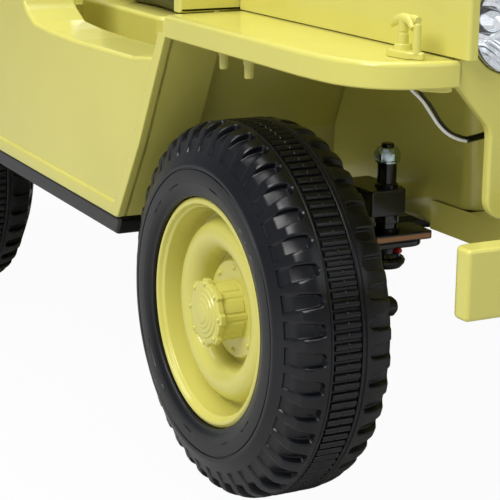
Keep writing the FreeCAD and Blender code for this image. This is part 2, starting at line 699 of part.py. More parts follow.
def make_front_end():
    gap = S.seat_gap
    low, high = S.tub_bottom + S.beam_lift, S.tub_bottom + S.beam_half * 2 - gap
    reach, inner = KINGPIN_Y + S.beam_end, KINGPIN_Y - S.block_inner
    rear, bar, front = AXLE_F - S.bar_rear, AXLE_F - S.bar_front, AXLE_F + S.beam_half
    beam = new_body("FrontBeam")
    pad(beam, "XY", low, high, [[(rear, -reach), (front, -reach), (front, -inner), (bar, -inner),
                                 (bar, inner), (front, inner), (front, reach), (rear, reach)]])
    bore = S.kingpin_radius + S.running_gap
    pocket(beam, "XY", low - S.overrun, high + S.overrun,
           [(AXLE_F, -KINGPIN_Y, bore), (AXLE_F, KINGPIN_Y, bore)])
    part(beam, "front_beam")

    pin = new_body("KingpinRight")
    r = S.kingpin_radius
    arm_top = S.arm_low + S.arm_wall
    nut_low = S.arm_low - S.nut_height - gap
    x, y = AXLE_F, -KINGPIN_Y
    nut, shaft = int(sheet.nut_sides), int(sheet.shaft_sides)
    pad(pin, "XY", nut_low, low - gap, [polygon(x, y, r, shaft)])
    pad(pin, "XY", low - gap, high + gap, [(x, y, r)])
    pad(pin, "XY", high + gap, S.pin_top, [polygon(x, y, r, shaft)])
    for low_z, high_z in ((nut_low, S.arm_low - gap), (arm_top + gap, low - gap),
                          (S.sleeve_top, S.sleeve_top + S.nut_height)):
        pad(pin, "XY", low_z, high_z, [polygon(x, y, S.nut_radius, nut)])
    pad(pin, "XY", high + gap, S.sleeve_top, [polygon(x, y, S.sleeve_radius, shaft)])
    part(pin, "kingpin_r")
    part(mirrored(pin, "KingpinLeft"), "kingpin_l")

    arm = new_body("KnuckleRight")
    half = S.arm_half
    out, flange_in = FLANGE_Y + S.flange_wall, FLANGE_Y
    tip, inner = AXLE_F - S.arm_length - half / 2, KINGPIN_Y - S.arm_inner
    pad(arm, "XY", S.arm_low, arm_top, [[(AXLE_F + half, -inner), (AXLE_F + half, -out),
        (AXLE_F - half, -out), (AXLE_F - half, -KINGPIN_Y - half / 2), (tip, -KINGPIN_Y - half / 2),
        (tip, -KINGPIN_Y + half / 2), (AXLE_F - half, -KINGPIN_Y + half / 2), (AXLE_F - half, -inner)]])
    pocket(arm, "XY", S.arm_low - S.overrun, arm_top + S.overrun,
           [polygon(AXLE_F, -KINGPIN_Y, r + gap, shaft),
            (AXLE_F - S.arm_length, -KINGPIN_Y, S.tie_pin_radius + S.running_gap)])
    pad(arm, "XZ", -out, -flange_in, [rectangle(AXLE_F - S.flange_half, S.wheel_radius - S.flange_half,
                                                AXLE_F + S.flange_half, arm_top)])
    stub_end = WHEEL_Y + S.hub_face
    pad(arm, "XZ", -stub_end, -out, [(AXLE_F, S.wheel_radius, S.axle_radius)])
    part(arm, "knuckle_r")
    part(mirrored(arm, "KnuckleLeft"), "knuckle_l")

    box = new_body("GearboxFront")
    centre_z = S.wheel_radius - S.gearbox_drop
    inner = flange_in - gap
    pad(box, "XZ", -inner, -inner + S.gearbox_width, [polygon(AXLE_F, centre_z, S.gearbox_radius, shaft)])
    pad(box, "XZ", -inner + S.gearbox_width, -inner + S.gearbox_width + S.knob_length,
        [polygon(AXLE_F, centre_z, S.knob_radius, shaft)])
    part(box, "gearbox_fr")
    part(mirrored(box, "GearboxFrontLeft"), "gearbox_fl")

    rod = new_body("TieRod")
    x, rod_z = AXLE_F - S.arm_length, S.arm_low - gap - S.tie_radius
    pad(rod, "XZ", -KINGPIN_Y, KINGPIN_Y, [polygon(x, rod_z, S.tie_radius, nut)])
    pins = [(x, -KINGPIN_Y, S.tie_pin_radius), (x, KINGPIN_Y, S.tie_pin_radius)]
    pad(rod, "XY", rod_z, arm_top, pins)
    part(rod, "tie_rod")


def make_rear_axle():
    gap = S.seat_gap
    shaft = int(sheet.shaft_sides)
    stub_end = WHEEL_Y + S.hub_face
    axle = new_body("RearAxle")
    inner = FLANGE_Y - gap
    bar = inner - S.sheet
    pad(axle, "XZ", -bar, bar, [polygon(AXLE_R, S.wheel_radius, S.axle_radius, shaft)])
    for low, high in ((-stub_end, -bar), (bar, stub_end)):
        pad(axle, "XZ", low, high, [(AXLE_R, S.wheel_radius, S.axle_radius)])
    half = S.bracket_width / 2
    for sign in (-1, 1):
        low, high = (-inner, -inner + S.sheet) if sign < 0 else (inner - S.sheet, inner)
        pad(axle, "XZ", low, high,
            [rectangle(AXLE_R - half, S.wheel_radius - half, AXLE_R + half, S.tub_floor_z - gap)])
    part(axle, "rear_axle")
    box = new_body("GearboxRear")
    edge = inner - S.sheet - gap
    hole = ring(AXLE_R, S.wheel_radius, S.axle_radius + gap, shaft)
    rim = polygon(AXLE_R, S.wheel_radius, S.gearbox_radius, shaft)
    pad(box, "XZ", -edge, -edge + S.gearbox_width, [rim, hole])
    part(together("GearboxesRear", [box, mirrored(box, "GearboxRearLeft")]), "gearboxes_rear")


# Cabin

def make_cabin():
    gap = S.seat_gap
    floor = S.floor_z + S.sheet
    rear, front = PEDESTAL_REAR, PEDESTAL_REAR + S.pedestal_length
    pedestal_y = SIDE_IN - S.pedestal_side_gap
    pedestal = block("Pedestal", rear, front, -pedestal_y, pedestal_y, floor + gap, S.seat_z - gap)
    part(pedestal, "seat_pedestal")
    seats, backs = [], []
    for sign in (-1, 1):
        near, far = S.seat_split * sign, (S.seat_split + S.seat_width) * sign
        y0, y1 = (far, near) if sign < 0 else (near, far)
        seat = block("SeatPad", rear + S.back_wall + gap, rear + S.seat_length, y0, y1, S.seat_z,
                     S.seat_z + S.seat_height)
        bevel(seat, S.cushion_edge)
        seats.append(seat)
        back = block("SeatBack", rear, rear + S.back_wall, y0, y1, S.seat_z,
                     S.seat_z + S.seat_height + S.back_height)
        bevel(back, S.cushion_edge)
        backs.append(back)
    part(together("SeatPads", seats), "seat_cushions")
    part(together("SeatBacks", backs), "seat_backs")

    frame = new_body("ScreenFrame")
    x0, x1 = SCREEN_X, SCREEN_X + S.screen_wall
    y = SCREEN_Y
    pad(frame, "YZ", x0, x1, [rectangle(-y, S.screen_bottom, y, S.screen_top)])
    bar = S.screen_bar
    window = rectangle(-y + bar, S.screen_bottom + bar, y - bar, S.screen_top - bar)
    pocket(frame, "YZ", x0 - S.overrun, x1 + S.overrun, [window])
    foot = bar / 2
    for sign in (-1, 1):
        near, far = (y - bar) * sign, (y - bar * 2) * sign
        u0, u1 = (near, far) if sign < 0 else (far, near)
        pad(frame, "YZ", x0, x1, [rectangle(u0, S.cowl_top + gap, u1, S.screen_bottom + foot)])
    part(frame, "windscreen_frame")
    pane = new_body("ScreenPane")
    middle = (x0 + x1) / 2
    pad(pane, "YZ", middle - S.pane_wall / 2, middle + S.pane_wall / 2,
        [rectangle(-y + bar + gap, S.screen_bottom + bar + gap, y - bar - gap, S.screen_top - bar - gap)])
    part(pane, "windscreen_pane")

    tilt = Rotation(Vector(0, 1, 0), -float(sheet.column_tilt))
    column = new_body("Column")
    r = S.column_radius
    shaft = int(sheet.shaft_sides)
    pad(column, "XY", -r * 2, S.column_length, [(ZERO, ZERO, r)])
    pad(column, "XY", -r * 2, r, [polygon(ZERO, ZERO, r * 2, shaft)])
    place(column, COWL_X - gap, S.wheel_y, S.column_z, tilt)
    dash = block("DashSide", COWL_X - gap, COWL_FRONT_X, S.wheel_y - COWL_X, S.wheel_y + COWL_X,
                 ZERO, S.screen_top)
    part(cut("SteeringColumn", column, dash), "steering_column")
    wheel = make_steering_wheel(tilt)
    part(wheel, "steering_wheel")


def make_steering_wheel(tilt):
    gap = S.seat_gap
    start = S.column_length + gap
    ring, tube = S.steer_ring, S.steer_tube
    hub = new_body("SteeringHub")
    pad(hub, "XY", start, start + tube * 2, [polygon(ZERO, ZERO, S.steer_hub, int(sheet.shaft_sides))])
    half = S.steer_spoke / 2
    spoke = start + tube / 2
    pad(hub, "XY", spoke, spoke + tube, [rectangle(-half, -ring, half, ring)])
    pad(hub, "XY", spoke, spoke + tube, [rectangle(-ring, -half, ZERO, half)])
    middle = start + tube
    turns = [2 * math.pi * k / sheet.tube_sides for k in range(int(sheet.tube_sides))]
    profile = [(middle + tube * math.sin(turn), ring + tube * math.cos(turn)) for turn in turns]
    rim = faceted("SteeringRing", "Z", profile, int(sheet.ring_sides))
    whole = fused("SteeringWheel", [hub, rim])
    place(whole, COWL_X - gap, S.wheel_y, S.column_z, tilt)
    return whole


# Small outside pieces

def make_trim():
    gap = S.seat_gap
    r = S.tail_lamp_radius
    depth = S.tail_lamp_depth
    profile = [(ZERO, ZERO), (ZERO, r), (-depth, r * tail_face_share), (-depth, ZERO)]
    lamp = faceted("TailLamp", "X", profile, int(sheet.ring_sides))
    place(lamp, -REAR_FACE - gap, -(SIDE_IN - S.tail_lamp_inset), S.tail_lamp_z)
    part(together("TailLamps", [lamp, mirrored(lamp, "TailLampLeft")]), "tail_lamps")

    base = new_body("Latch")
    top = S.fender_top + gap
    y = -(BONNET_REAR_Y + S.latch_gap)
    half_x, half_y = S.latch_base_x, S.latch_base_y
    nut = int(sheet.nut_sides)
    latch_x = BONNET_FRONT_X - S.latch_setback
    post, bar = S.latch_post, S.latch_bar
    foot, head = top + S.latch_base_height, S.latch_post_top
    pad(base, "XY", top, foot, [rectangle(latch_x - half_x, y - half_y, latch_x + half_x, y)])
    middle = y - half_y / 2
    rear_x, front_x = latch_x - half_x / 2, latch_x + half_x / 2
    pad(base, "XY", foot, head, [polygon(rear_x, middle, post, nut)])
    pad(base, "XY", foot, head - post, [polygon(front_x, middle, post, nut)])
    pad(base, "XY", head, head + post,
        [rectangle(rear_x - bar, middle - post, rear_x + bar, middle + post)])
    part(together("Latches", [base, mirrored(base, "LatchLeft")]), "bonnet_latches")


make_side()
make_sills()
make_floor()
make_rear()
make_front_tub()
make_fender()
make_cowl()
make_bonnet()
make_grille()
make_lamps()
make_horns_and_bumpers()
make_front_end()
make_rear_axle()
make_cabin()
make_trim()
make_wheels()
doc.recompute()

for thing in doc.Objects:
    bad = [word for word in thing.State if word in ("Invalid", "Error")]
    if bad:
        raise RuntimeError(f"{thing.Label} failed: {thing.State}")
os.makedirs("parts", exist_ok=True)
for thing in PARTS:
    if thing.Shape.isNull() or not thing.Shape.isValid():
        raise RuntimeError(f"{thing.Label} has no valid shape")
    thing.Shape.exportStep(f"parts/{thing.Label}.step")
print(len(PARTS), "sub-parts written")
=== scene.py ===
import math

import bmesh
import bpy
from mathutils import Matrix, Vector


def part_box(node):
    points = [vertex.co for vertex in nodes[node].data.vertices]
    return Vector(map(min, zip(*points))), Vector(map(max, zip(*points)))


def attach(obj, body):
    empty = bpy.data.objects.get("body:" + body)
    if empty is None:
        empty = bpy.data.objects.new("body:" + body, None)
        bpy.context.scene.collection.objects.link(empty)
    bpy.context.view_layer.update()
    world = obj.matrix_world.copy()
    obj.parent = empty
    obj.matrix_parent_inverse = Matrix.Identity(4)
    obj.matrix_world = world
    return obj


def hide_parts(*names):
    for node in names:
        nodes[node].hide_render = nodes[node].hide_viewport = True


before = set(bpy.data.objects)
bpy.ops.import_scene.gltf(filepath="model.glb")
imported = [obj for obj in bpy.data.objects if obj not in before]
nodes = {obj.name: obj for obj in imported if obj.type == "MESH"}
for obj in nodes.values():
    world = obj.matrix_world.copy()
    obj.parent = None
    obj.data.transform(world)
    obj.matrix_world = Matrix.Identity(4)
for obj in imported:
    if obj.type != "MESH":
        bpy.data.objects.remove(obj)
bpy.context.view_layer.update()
mm = 0.001
left, right = 1, -1
mirrorY = Matrix.Diagonal((1, -1, 1, 1))
sides = (("r", "right", None), ("l", "left", mirrorY))
print("frame loaded")


def linked(name, data):
    # a new object in the scene
    made = bpy.data.objects.new(name, data)
    bpy.context.scene.collection.objects.link(made)
    return made


def evaluated(made):
    # a mesh of the object with its modifiers applied
    bpy.context.view_layer.update()
    return bpy.data.meshes.new_from_object(made.evaluated_get(bpy.context.evaluated_depsgraph_get()))


def join(tree, *rows):
    for source, output, target, entry in rows:
        tree.links.new(source.outputs[output], target.inputs[entry])


def turnsOf(count):
    return [2 * math.pi * k / count for k in range(count)]


def moved(place):
    # a shift given in millimetres
    return Matrix.Translation(Vector(place) * mm)


# camera, at the photograph's place and angle

cameraSpec = {"place": (1466.45, -913.48, 505.68), "yaw": 28.6, "pitch": 14.19, "roll": 0.9, "lens": 135.95}


def makeCamera(spec):
    yaw, pitch, roll = (math.radians(spec[word]) for word in ("yaw", "pitch", "roll"))
    ahead = Vector((-math.cos(yaw) * math.cos(pitch), math.sin(yaw) * math.cos(pitch), -math.sin(pitch)))
    data = bpy.data.cameras.new("camera")
    data.lens, data.sensor_width = spec["lens"], 36
    data.clip_start, data.clip_end = 0.02, 60
    camera = bpy.context.scene.camera = linked("camera", data)
    turn = ahead.to_track_quat("-Z", "Y").to_matrix().to_4x4()
    camera.matrix_world = moved(spec["place"]) @ turn @ Matrix.Rotation(roll, 4, "Z")


makeCamera(cameraSpec)


# shader maths

class Wire:
    # one value in a material: sums and products on it add Math nodes
    def __init__(self, shade, link):
        self.shade, self.link = shade, link

    def math(self, operation, *values):
        return self.shade.node("ShaderNodeMath", {"operation": operation}, dict(enumerate(values)))

    def __add__(self, other):
        return self.math("ADD", self, other)

    def __mul__(self, other):
        return self.math("MULTIPLY", self, other)

    __radd__, __rmul__ = __add__, __mul__


class Shade:
    # a material with one Principled surface
    def __init__(self, name, **fixed):
        self.material = bpy.data.materials.new(name)
        self.material.use_nodes = True
        self.tree = self.material.node_tree
        self.surface = self.tree.nodes["Principled BSDF"]
        for word, value in fixed.items():
            self.surface.inputs[word.replace("_", " ")].default_value = value
        self.place = self.node("ShaderNodeTexCoord", out="Object")

    def node(self, kind, settings={}, values={}, out=0):
        made = self.tree.nodes.new(kind)
        for word, setting in settings.items():
            setattr(made, word, setting)
        for word, value in values.items():
            if isinstance(value, Wire):
                self.tree.links.new(value.link, made.inputs[word])
            else:
                made.inputs[word].default_value = value
        return Wire(self, made.outputs[out])

    def noise(self, scale, detail=2.0, roughness=0.5):
        return self.node("ShaderNodeTexNoise", {}, {"Vector": self.place, "Scale": scale, "Detail": detail,
                                                     "Roughness": roughness}, "Fac")

    def ramp(self, value, low, high):
        return self.node("ShaderNodeMapRange", {"interpolation_type": "SMOOTHSTEP"},
                         {"Value": value, "From Min": low, "From Max": high}, "Result")

    def blend(self, mask, first, second):
        return self.node("ShaderNodeMix", {"data_type": "RGBA"}, {0: mask, 6: first, 7: second}, 2)

    def bump(self, height, strength, distance, under=None):
        values = {"Height": height, "Strength": strength, "Distance": distance}
        if under:
            values["Normal"] = under
        return self.node("ShaderNodeBump", {}, values, "Normal")

    def feed(self, **links):
        for word, wire in links.items():
            self.tree.links.new(wire.link, self.surface.inputs[word.replace("_", " ")])
        return self.material


def tint(colour, factor):
    return tuple(channel * factor for channel in colour[:3]) + (1,)


def plasticShade(name, colour, gloss, grain, waviness, shiftShare=0.06, **fixed):
    # moulded plastic: a cloudy tone, a little rubbed dust, fine grain and slow waves in its gloss
    shade = Shade(name, **fixed)
    cloud = shade.noise(7, 3)
    speck = shade.noise(700, 2)
    tone = shade.blend(shade.ramp(cloud, 0.3, 0.7), tint(colour, 1 - shiftShare), tint(colour, 1 + shiftShare))
    dust = shade.ramp(shade.noise(34, 4, 0.6), 0.6, 0.85)
    tone = shade.blend(dust * 0.12, tone, tint(colour, 1.12))
    waves = shade.bump(shade.noise(9, 1), 0.3, waviness)
    fine = shade.bump(speck, 0.2, grain, waves)
    return shade.feed(Base_Color=tone, Roughness=gloss + 0.09 * cloud + 0.05 * dust, Normal=fine)


khakiColour = (0.68, 0.635, 0.15)
khaki = plasticShade("khaki_plastic", khakiColour, 0.13, 0.00002, 0.0008, 0.03)
blackPlastic = plasticShade("black_plastic", (0.0085, 0.0085, 0.009), 0.3, 0.00008, 0.0004, 0.15)
blackGloss = plasticShade("black_gloss", (0.004, 0.004, 0.0045), 0.08, 0.00002, 0.0004, 0.12)
whiteWire = plasticShade("white_wire", (0.78, 0.78, 0.76), 0.34, 0.00003, 0.0001)
redWire = plasticShade("red_wire", (0.5, 0.012, 0.016), 0.34, 0.00003, 0.0001)


def steelShade(name, colour, metallic, gloss, patchColour, patchShare):
    # painted or plated steel: orange-peel bump and rubbed patches
    shade = Shade(name, Metallic=metallic)
    patch = shade.ramp(shade.noise(45, 6, 0.65), 1 - patchShare, 1)
    streak = shade.noise(130, 4, 0.7)
    tone = shade.blend(patch, tint(colour, 1), tint(patchColour, 1))
    peel = shade.bump(shade.noise(260, 2), 0.3, 0.00007)
    return shade.feed(Base_Color=tone, Roughness=gloss + 0.2 * patch + 0.06 * streak, Normal=peel)


blackSteel = steelShade("black_steel", (0.006, 0.006, 0.0065), 0, 0.14, (0.02, 0.018, 0.016), 0.3)
zinc = steelShade("zinc_plate", (0.5, 0.6, 0.62), 1, 0.16, (0.4, 0.44, 0.4), 0.4)
rawSteel = steelShade("raw_edge", (0.42, 0.2, 0.09), 0.2, 0.5, (0.6, 0.38, 0.2), 0.55)
chrome = steelShade("lamp_chrome", (0.86, 0.88, 0.9), 1, 0.04, (0.8, 0.82, 0.85), 0.2)


def tyreShade():
    shade = Shade("tyre", Specular_IOR_Level=0.4)
    cloud = shade.noise(14, 4, 0.6)
    speck = shade.noise(1300, 2)
    tone = shade.blend(shade.ramp(cloud, 0.35, 0.7), (0.0022, 0.0025, 0.0042, 1), (0.0042, 0.0047, 0.0075, 1))
    fine = shade.bump(speck, 0.35, 0.00005, shade.bump(cloud, 0.2, 0.0004))
    return shade.feed(Base_Color=tone, Roughness=0.24 + 0.12 * cloud + 0.05 * speck, Normal=fine)


def vinylShade():
    shade = Shade("seat_vinyl", Coat_Weight=0.25, Coat_Roughness=0.22)
    cells = shade.node("ShaderNodeTexVoronoi", {"feature": "DISTANCE_TO_EDGE"},
                       {"Vector": shade.place, "Scale": 420, "Randomness": 1.0}, "Distance")
    grain = shade.ramp(cells, 0, 0.12)
    cloud = shade.noise(9, 3)
    tone = shade.blend(grain, (0.008, 0.008, 0.009, 1), (0.019, 0.019, 0.021, 1))
    fine = shade.bump(grain, 0.5, 0.00018, shade.bump(cloud, 0.2, 0.0012))
    return shade.feed(Base_Color=tone, Roughness=0.3 + 0.14 * cloud, Normal=fine)


def glassShade(name, colour, clarity, ripple):
    shade = Shade(name, Transmission_Weight=clarity, IOR=1.45)
    smear = shade.noise(26, 4, 0.6)
    tone = shade.blend(shade.ramp(smear, 0.3, 0.8), tint(colour, 1), tint(colour, 0.93))
    return shade.feed(Base_Color=tone, Roughness=0.015 + 0.05 * smear,
                      Normal=shade.bump(shade.noise(75, 1), 0.3, ripple))


tyreRubber, seatVinyl = tyreShade(), vinylShade()
lampGlass = glassShade("lamp_lens", (0.96, 0.97, 0.98), 0.96, 0.0002)
paneGlass = glassShade("clear_pane", (0.93, 0.96, 0.95), 0.93, 0.0003)
redLens = glassShade("red_lens", (0.62, 0.025, 0.018), 0.45, 0.0003)
print("materials made")


# mesh helpers

def roundPath(points, radius=0.0, steps=4, closed=True):
    # the path's corners become arcs; a point may carry its own radius as its third number
    made, count = [], len(points)
    for index, point in enumerate(points):
        here = Vector(point[:2])
        size = point[2] if len(point) > 2 else radius
        if size <= 0 or (not closed and index in (0, count - 1)):
            made.append(tuple(here))
            continue
        before, after = (Vector(points[(index + step) % count][:2]) - here for step in (-1, 1))
        turn = before.angle(after) / 2
        back = min(size / max(math.tan(turn), 1e-4), before.length * 0.48, after.length * 0.48)
        start, end = here + before.normalized() * back, here + after.normalized() * back
        bisector = (before.normalized() + after.normalized())
        if bisector.length < 1e-3:
            made.append(tuple(here))
            continue
        centre = here + bisector.normalized() * (back / max(math.cos(turn), 1e-4))
        first, last = start - centre, end - centre
        sweep = first.angle(last)
        for step in range(steps + 1):
            share = step / steps
            low, high = math.sin((1 - share) * sweep), math.sin(share * sweep)
            made.append(tuple(centre + (first * low + last * high) / max(math.sin(sweep), 1e-6)))
    return made


def smoothPath(points, steps=6):
    # a Catmull-Rom line through the points
    made, last = [], len(points) - 1
    for index in range(last):
        a, b, c, d = (Vector(points[min(max(index + step, 0), last)]) for step in (-1, 0, 1, 2))
        for step in range(steps):
            t = step / steps
            made.append(tuple(0.5 * (2 * b + (c - a) * t + (2 * a - 5 * b + 4 * c - d) * t ** 2
                                     + (3 * b - a - 3 * c + d) * t ** 3)))
    return made + [tuple(points[-1])]


def inset(loop, distance):
    # the closed loop moved inwards; it runs counter-clockwise
    made, count = [], len(loop)
    for index in range(count):
        here = Vector(loop[index])
        before = (here - Vector(loop[index - 1])).normalized()
        after = (Vector(loop[(index + 1) % count]) - here).normalized()
        normal = Vector((-before.y - after.y, before.x + after.x))
        if normal.length < 1e-6:
            normal = Vector((-before.y, before.x))
        normal.normalize()
        lean = max(normal.dot(Vector((-before.y, before.x))), 0.5)
        made.append(tuple(here + normal * (distance / lean)))
    return made


def counterClockwise(loop):
    area = sum(a[0] * b[1] - b[0] * a[1] for a, b in zip(loop, loop[1:] + loop[:1]))
    return list(loop) if area > 0 else list(reversed(loop))


def arc(radius, steps):
    # (inset, drop) pairs of a rounded edge, from its side to its top
    angles = [math.radians(90 * step / steps) for step in range(steps + 1)]
    return [(radius * (1 - math.cos(a)), radius * (1 - math.sin(a))) for a in angles]


planes = {"XY": ((1, 0, 0), (0, 1, 0), (0, 0, 1)), "YZ": ((0, 1, 0), (0, 0, 1), (1, 0, 0)),
          "XZ": ((1, 0, 0), (0, 0, 1), (0, -1, 0))}


def onPlane(plane, shift=0.0):
    # drawn (u, v, height) to the frame; on XZ the height runs to the car's right
    matrix = Matrix(planes[plane]).transposed().to_4x4()
    return matrix @ Matrix.Translation((0, 0, shift))


def placed(mesh, matrix):
    # a matrix that mirrors also turns the faces, so that their normals stay outward
    if matrix:
        mesh.transform(matrix)
        if matrix.determinant() < 0:
            mesh.flip_normals()
    return mesh


def meshFrom(parts, matrix=None, weld=0.00001):
    mesh = bpy.data.meshes.new("draft")
    if weld:
        bmesh.ops.remove_doubles(parts, verts=parts.verts, dist=weld)
        bmesh.ops.recalc_face_normals(parts, faces=parts.faces)
    parts.to_mesh(mesh)
    parts.free()
    return placed(mesh, matrix)


def gathered(parts, *meshes):
    # the meshes go into the draft and are gone
    for mesh in meshes:
        parts.from_mesh(mesh)
        bpy.data.meshes.remove(mesh)
    return parts


def skin(rings, matrix=None, closedAlong=False, closedRing=True):
    # quads between rings of equal length, in millimetres, with flat caps
    parts = bmesh.new()
    rows = [[parts.verts.new(Vector(point) * mm) for point in ring] for ring in rings]
    count = len(rows[0])
    for low, high in list(zip(rows, rows[1:])) + ([(rows[-1], rows[0])] if closedAlong else []):
        for k in range(count if closedRing else count - 1):
            other = (k + 1) % count
            parts.faces.new((low[k], low[other], high[other], high[k]))
    if closedRing and not closedAlong:
        parts.faces.new(list(reversed(rows[0])))
        parts.faces.new(rows[-1])
    return meshFrom(parts, matrix)


def stack(loop, layers, plane):
    # a closed loop repeated at (inset, height) layers, in millimetres
    loop = counterClockwise(loop)
    rings = [[(u, v, height) for u, v in (inset(loop, gap) if gap else loop)] for gap, height in layers]
    return skin(rings, onPlane(plane))


def rectangle(u0, v0, u1, v1, *radii):
    # its corners in turn, each with its own radius where radii are given
    points = [(u0, v0), (u1, v0), (u1, v1), (u0, v1)]
    return [(*point, radius) for point, radius in zip(points, radii)] if radii else points


def slab(loop, low, high, plane, edge=1.5, steps=3):
    # a flat piece with rounded edges on both faces
    layers = [(gap, low + drop) for gap, drop in reversed(arc(edge, steps))]
    layers += [(gap, high - drop) for gap, drop in arc(edge, steps)]
    return stack(loop, layers, plane)


def brick(low, high, edge=2.0, corner=2.0, plane="XY"):
    # a rounded block between two corners, in millimetres
    order = {"XY": (0, 1, 2), "YZ": (1, 2, 0), "XZ": (0, 2, 1)}[plane]
    u0, v0, w0 = (low[k] for k in order)
    u1, v1, w1 = (high[k] for k in order)
    if plane == "XZ":
        w0, w1 = -w1, -w0
    return slab(roundPath(rectangle(u0, v0, u1, v1), corner), w0, w1, plane, edge)


def holed(loops, low, high, plane, edge=1.0):
    # a flat piece with holes, from a filled curve with rounded edges
    curve = bpy.data.curves.new("holed", "CURVE")
    curve.dimensions, curve.fill_mode = "2D", "BOTH"
    curve.extrude, curve.bevel_depth = ((high - low) / 2 - edge) * mm, edge * mm
    curve.offset, curve.bevel_resolution = -edge * mm, 2
    for loop in loops:
        spline = curve.splines.new("POLY")
        spline.points.add(len(loop) - 1)
        for point, (u, v) in zip(spline.points, loop):
            point.co = (u * mm, v * mm, 0, 1)
        spline.use_cyclic_u = True
    holder = bpy.data.objects.new("holed", curve)
    flat = bpy.data.meshes.new_from_object(holder)
    bpy.data.objects.remove(holder)
    bpy.data.curves.remove(curve)
    return meshFrom(gathered(bmesh.new(), flat), onPlane(plane, (low + high) / 2 * mm))


def turned(profile, axis="Y", centre=(0, 0, 0), sides=64, flute=None):
    # a turned piece: (place, radius) pairs, and a bare number for a place on the axis; a flute
    # changes the radius with the angle
    rings = []
    for place, radius in (point if isinstance(point, tuple) else (point, 0.01) for point in profile):
        ring = []
        for angle in turnsOf(sides):
            reach = radius * (flute(angle, place) if flute else 1)
            u, v = reach * math.cos(angle), reach * math.sin(angle)
            ring.append({"X": (place, u, v), "Y": (v, place, u), "Z": (u, v, place)}[axis])
        rings.append(ring)
    return skin(rings, moved(centre))


def dome(radius, height, axis="Y", centre=(0, 0, 0), sides=12, outward=-1, foot=1.0):
    # a low domed head, such as a bolt's or a rivet's
    profile = [(-outward * foot, radius), (0, radius)]
    profile += [(outward * height * math.sin(a), radius * math.cos(a)) for a in (0.45, 0.9, 1.3)]
    return turned(profile, axis, centre, sides)


def pipe(points, radius, sides=10):
    # a round bar along the points, in millimetres
    line = [Vector(p) for p in smoothPath(points)]
    side = (line[1] - line[0]).orthogonal().normalized()
    rings = []
    for index, here in enumerate(line):
        ahead = (line[min(index + 1, len(line) - 1)] - line[max(index - 1, 0)]).normalized()
        side = (side - ahead * side.dot(ahead)).normalized()
        other = ahead.cross(side)
        size = radius(index / (len(line) - 1)) if callable(radius) else radius
        rings.append([tuple(here + (side * math.cos(a) + other * math.sin(a)) * size) for a in turnsOf(sides)])
    return skin(rings)


def repeatTree():
    # copies of one mesh, each turned by Turn from the one before
    tree = bpy.data.node_groups.new("repeat", "GeometryNodeTree")
    for name, kind, way in (("Piece", "Object", "INPUT"), ("Count", "Int", "INPUT"), ("Turn", "Vector", "INPUT"),
                            ("Material", "Material", "INPUT"), ("Geometry", "Geometry", "OUTPUT")):
        tree.interface.new_socket(name, in_out=way, socket_type="NodeSocket" + kind)
    start, end, line, index, piece, copies, turn, solid, paint = (tree.nodes.new(kind) for kind in (
        "NodeGroupInput", "NodeGroupOutput", "GeometryNodeMeshLine", "GeometryNodeInputIndex",
        "GeometryNodeObjectInfo", "GeometryNodeInstanceOnPoints", "ShaderNodeVectorMath",
        "GeometryNodeRealizeInstances", "GeometryNodeSetMaterial"))
    turn.operation = "SCALE"
    line.inputs["Offset"].default_value = (0, 0, 0)
    join(tree, (start, "Count", line, "Count"), (line, "Mesh", copies, "Points"), (start, "Piece", piece, "Object"),
         (piece, "Geometry", copies, "Instance"), (start, "Turn", turn, 0), (index, "Index", turn, "Scale"),
         (turn, "Vector", copies, "Rotation"), (copies, "Instances", solid, "Geometry"),
         (solid, "Geometry", paint, "Geometry"), (start, "Material", paint, "Material"),
         (paint, "Geometry", end, "Geometry"))
    return tree


repeater = repeatTree()


def around(mesh, count, material):
    # the mesh repeated by the tree in a full turn about Y
    piece, holder = linked("repeatPiece", mesh), linked("repeatHolder", bpy.data.meshes.new("repeatHolder"))
    modifier = holder.modifiers.new("repeat", "NODES")
    modifier.node_group = repeater
    values = {"Piece": piece, "Count": count, "Turn": (0, math.radians(360 / count), 0), "Material": material}
    for item in repeater.interface.items_tree:
        if item.name in values:
            modifier[item.identifier] = values[item.name]
    result = evaluated(holder)
    for made in (holder, piece):
        bpy.data.objects.remove(made)
    return result


class Piece:
    # gathers meshes into one object that rides on a body
    def __init__(self, name):
        self.name, self.parts, self.materials = name, bmesh.new(), []

    def add(self, meshes, material, matrix=None):
        if material not in self.materials:
            self.materials.append(material)
        for mesh in meshes if isinstance(meshes, (list, tuple)) else [meshes]:
            before = len(self.parts.faces)
            gathered(self.parts, placed(mesh, matrix))
            self.parts.faces.ensure_lookup_table()
            for face in self.parts.faces[before:]:
                face.material_index, face.smooth = self.materials.index(material), True
        return self

    def both(self, make, material):
        # the right side's meshes and their mirror image
        return self.add(make(), material).add(make(), material, mirrorY)

    def done(self, *replaced, body="body", slot="khaki_plastic", sharp=38):
        mesh = bpy.data.meshes.new(self.name)
        self.parts.to_mesh(mesh)
        self.parts.free()
        for material in self.materials:
            mesh.materials.append(material)
        mesh.set_sharp_from_angle(angle=math.radians(sharp))
        made = linked(self.name, mesh)
        normals = made.modifiers.new("normals", "WEIGHTED_NORMAL")
        normals.keep_sharp, normals.weight = True, 80
        baked = evaluated(made)
        made.modifiers.remove(normals)
        made.data = baked
        bpy.data.meshes.remove(mesh)
        baked.name = self.name
        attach(made, body)
        if replaced:
            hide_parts(*replaced)
        return made


def corners(node):
    # a node's two corners in millimetres
    low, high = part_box(node)
    return [c / mm for c in low], [c / mm for c in high]


def middle(node):
    low, high = corners(node)
    return [(a + b) / 2 for a, b in zip(low, high)]


# tyres, rims and hub caps, drawn with the outer face towards -Y

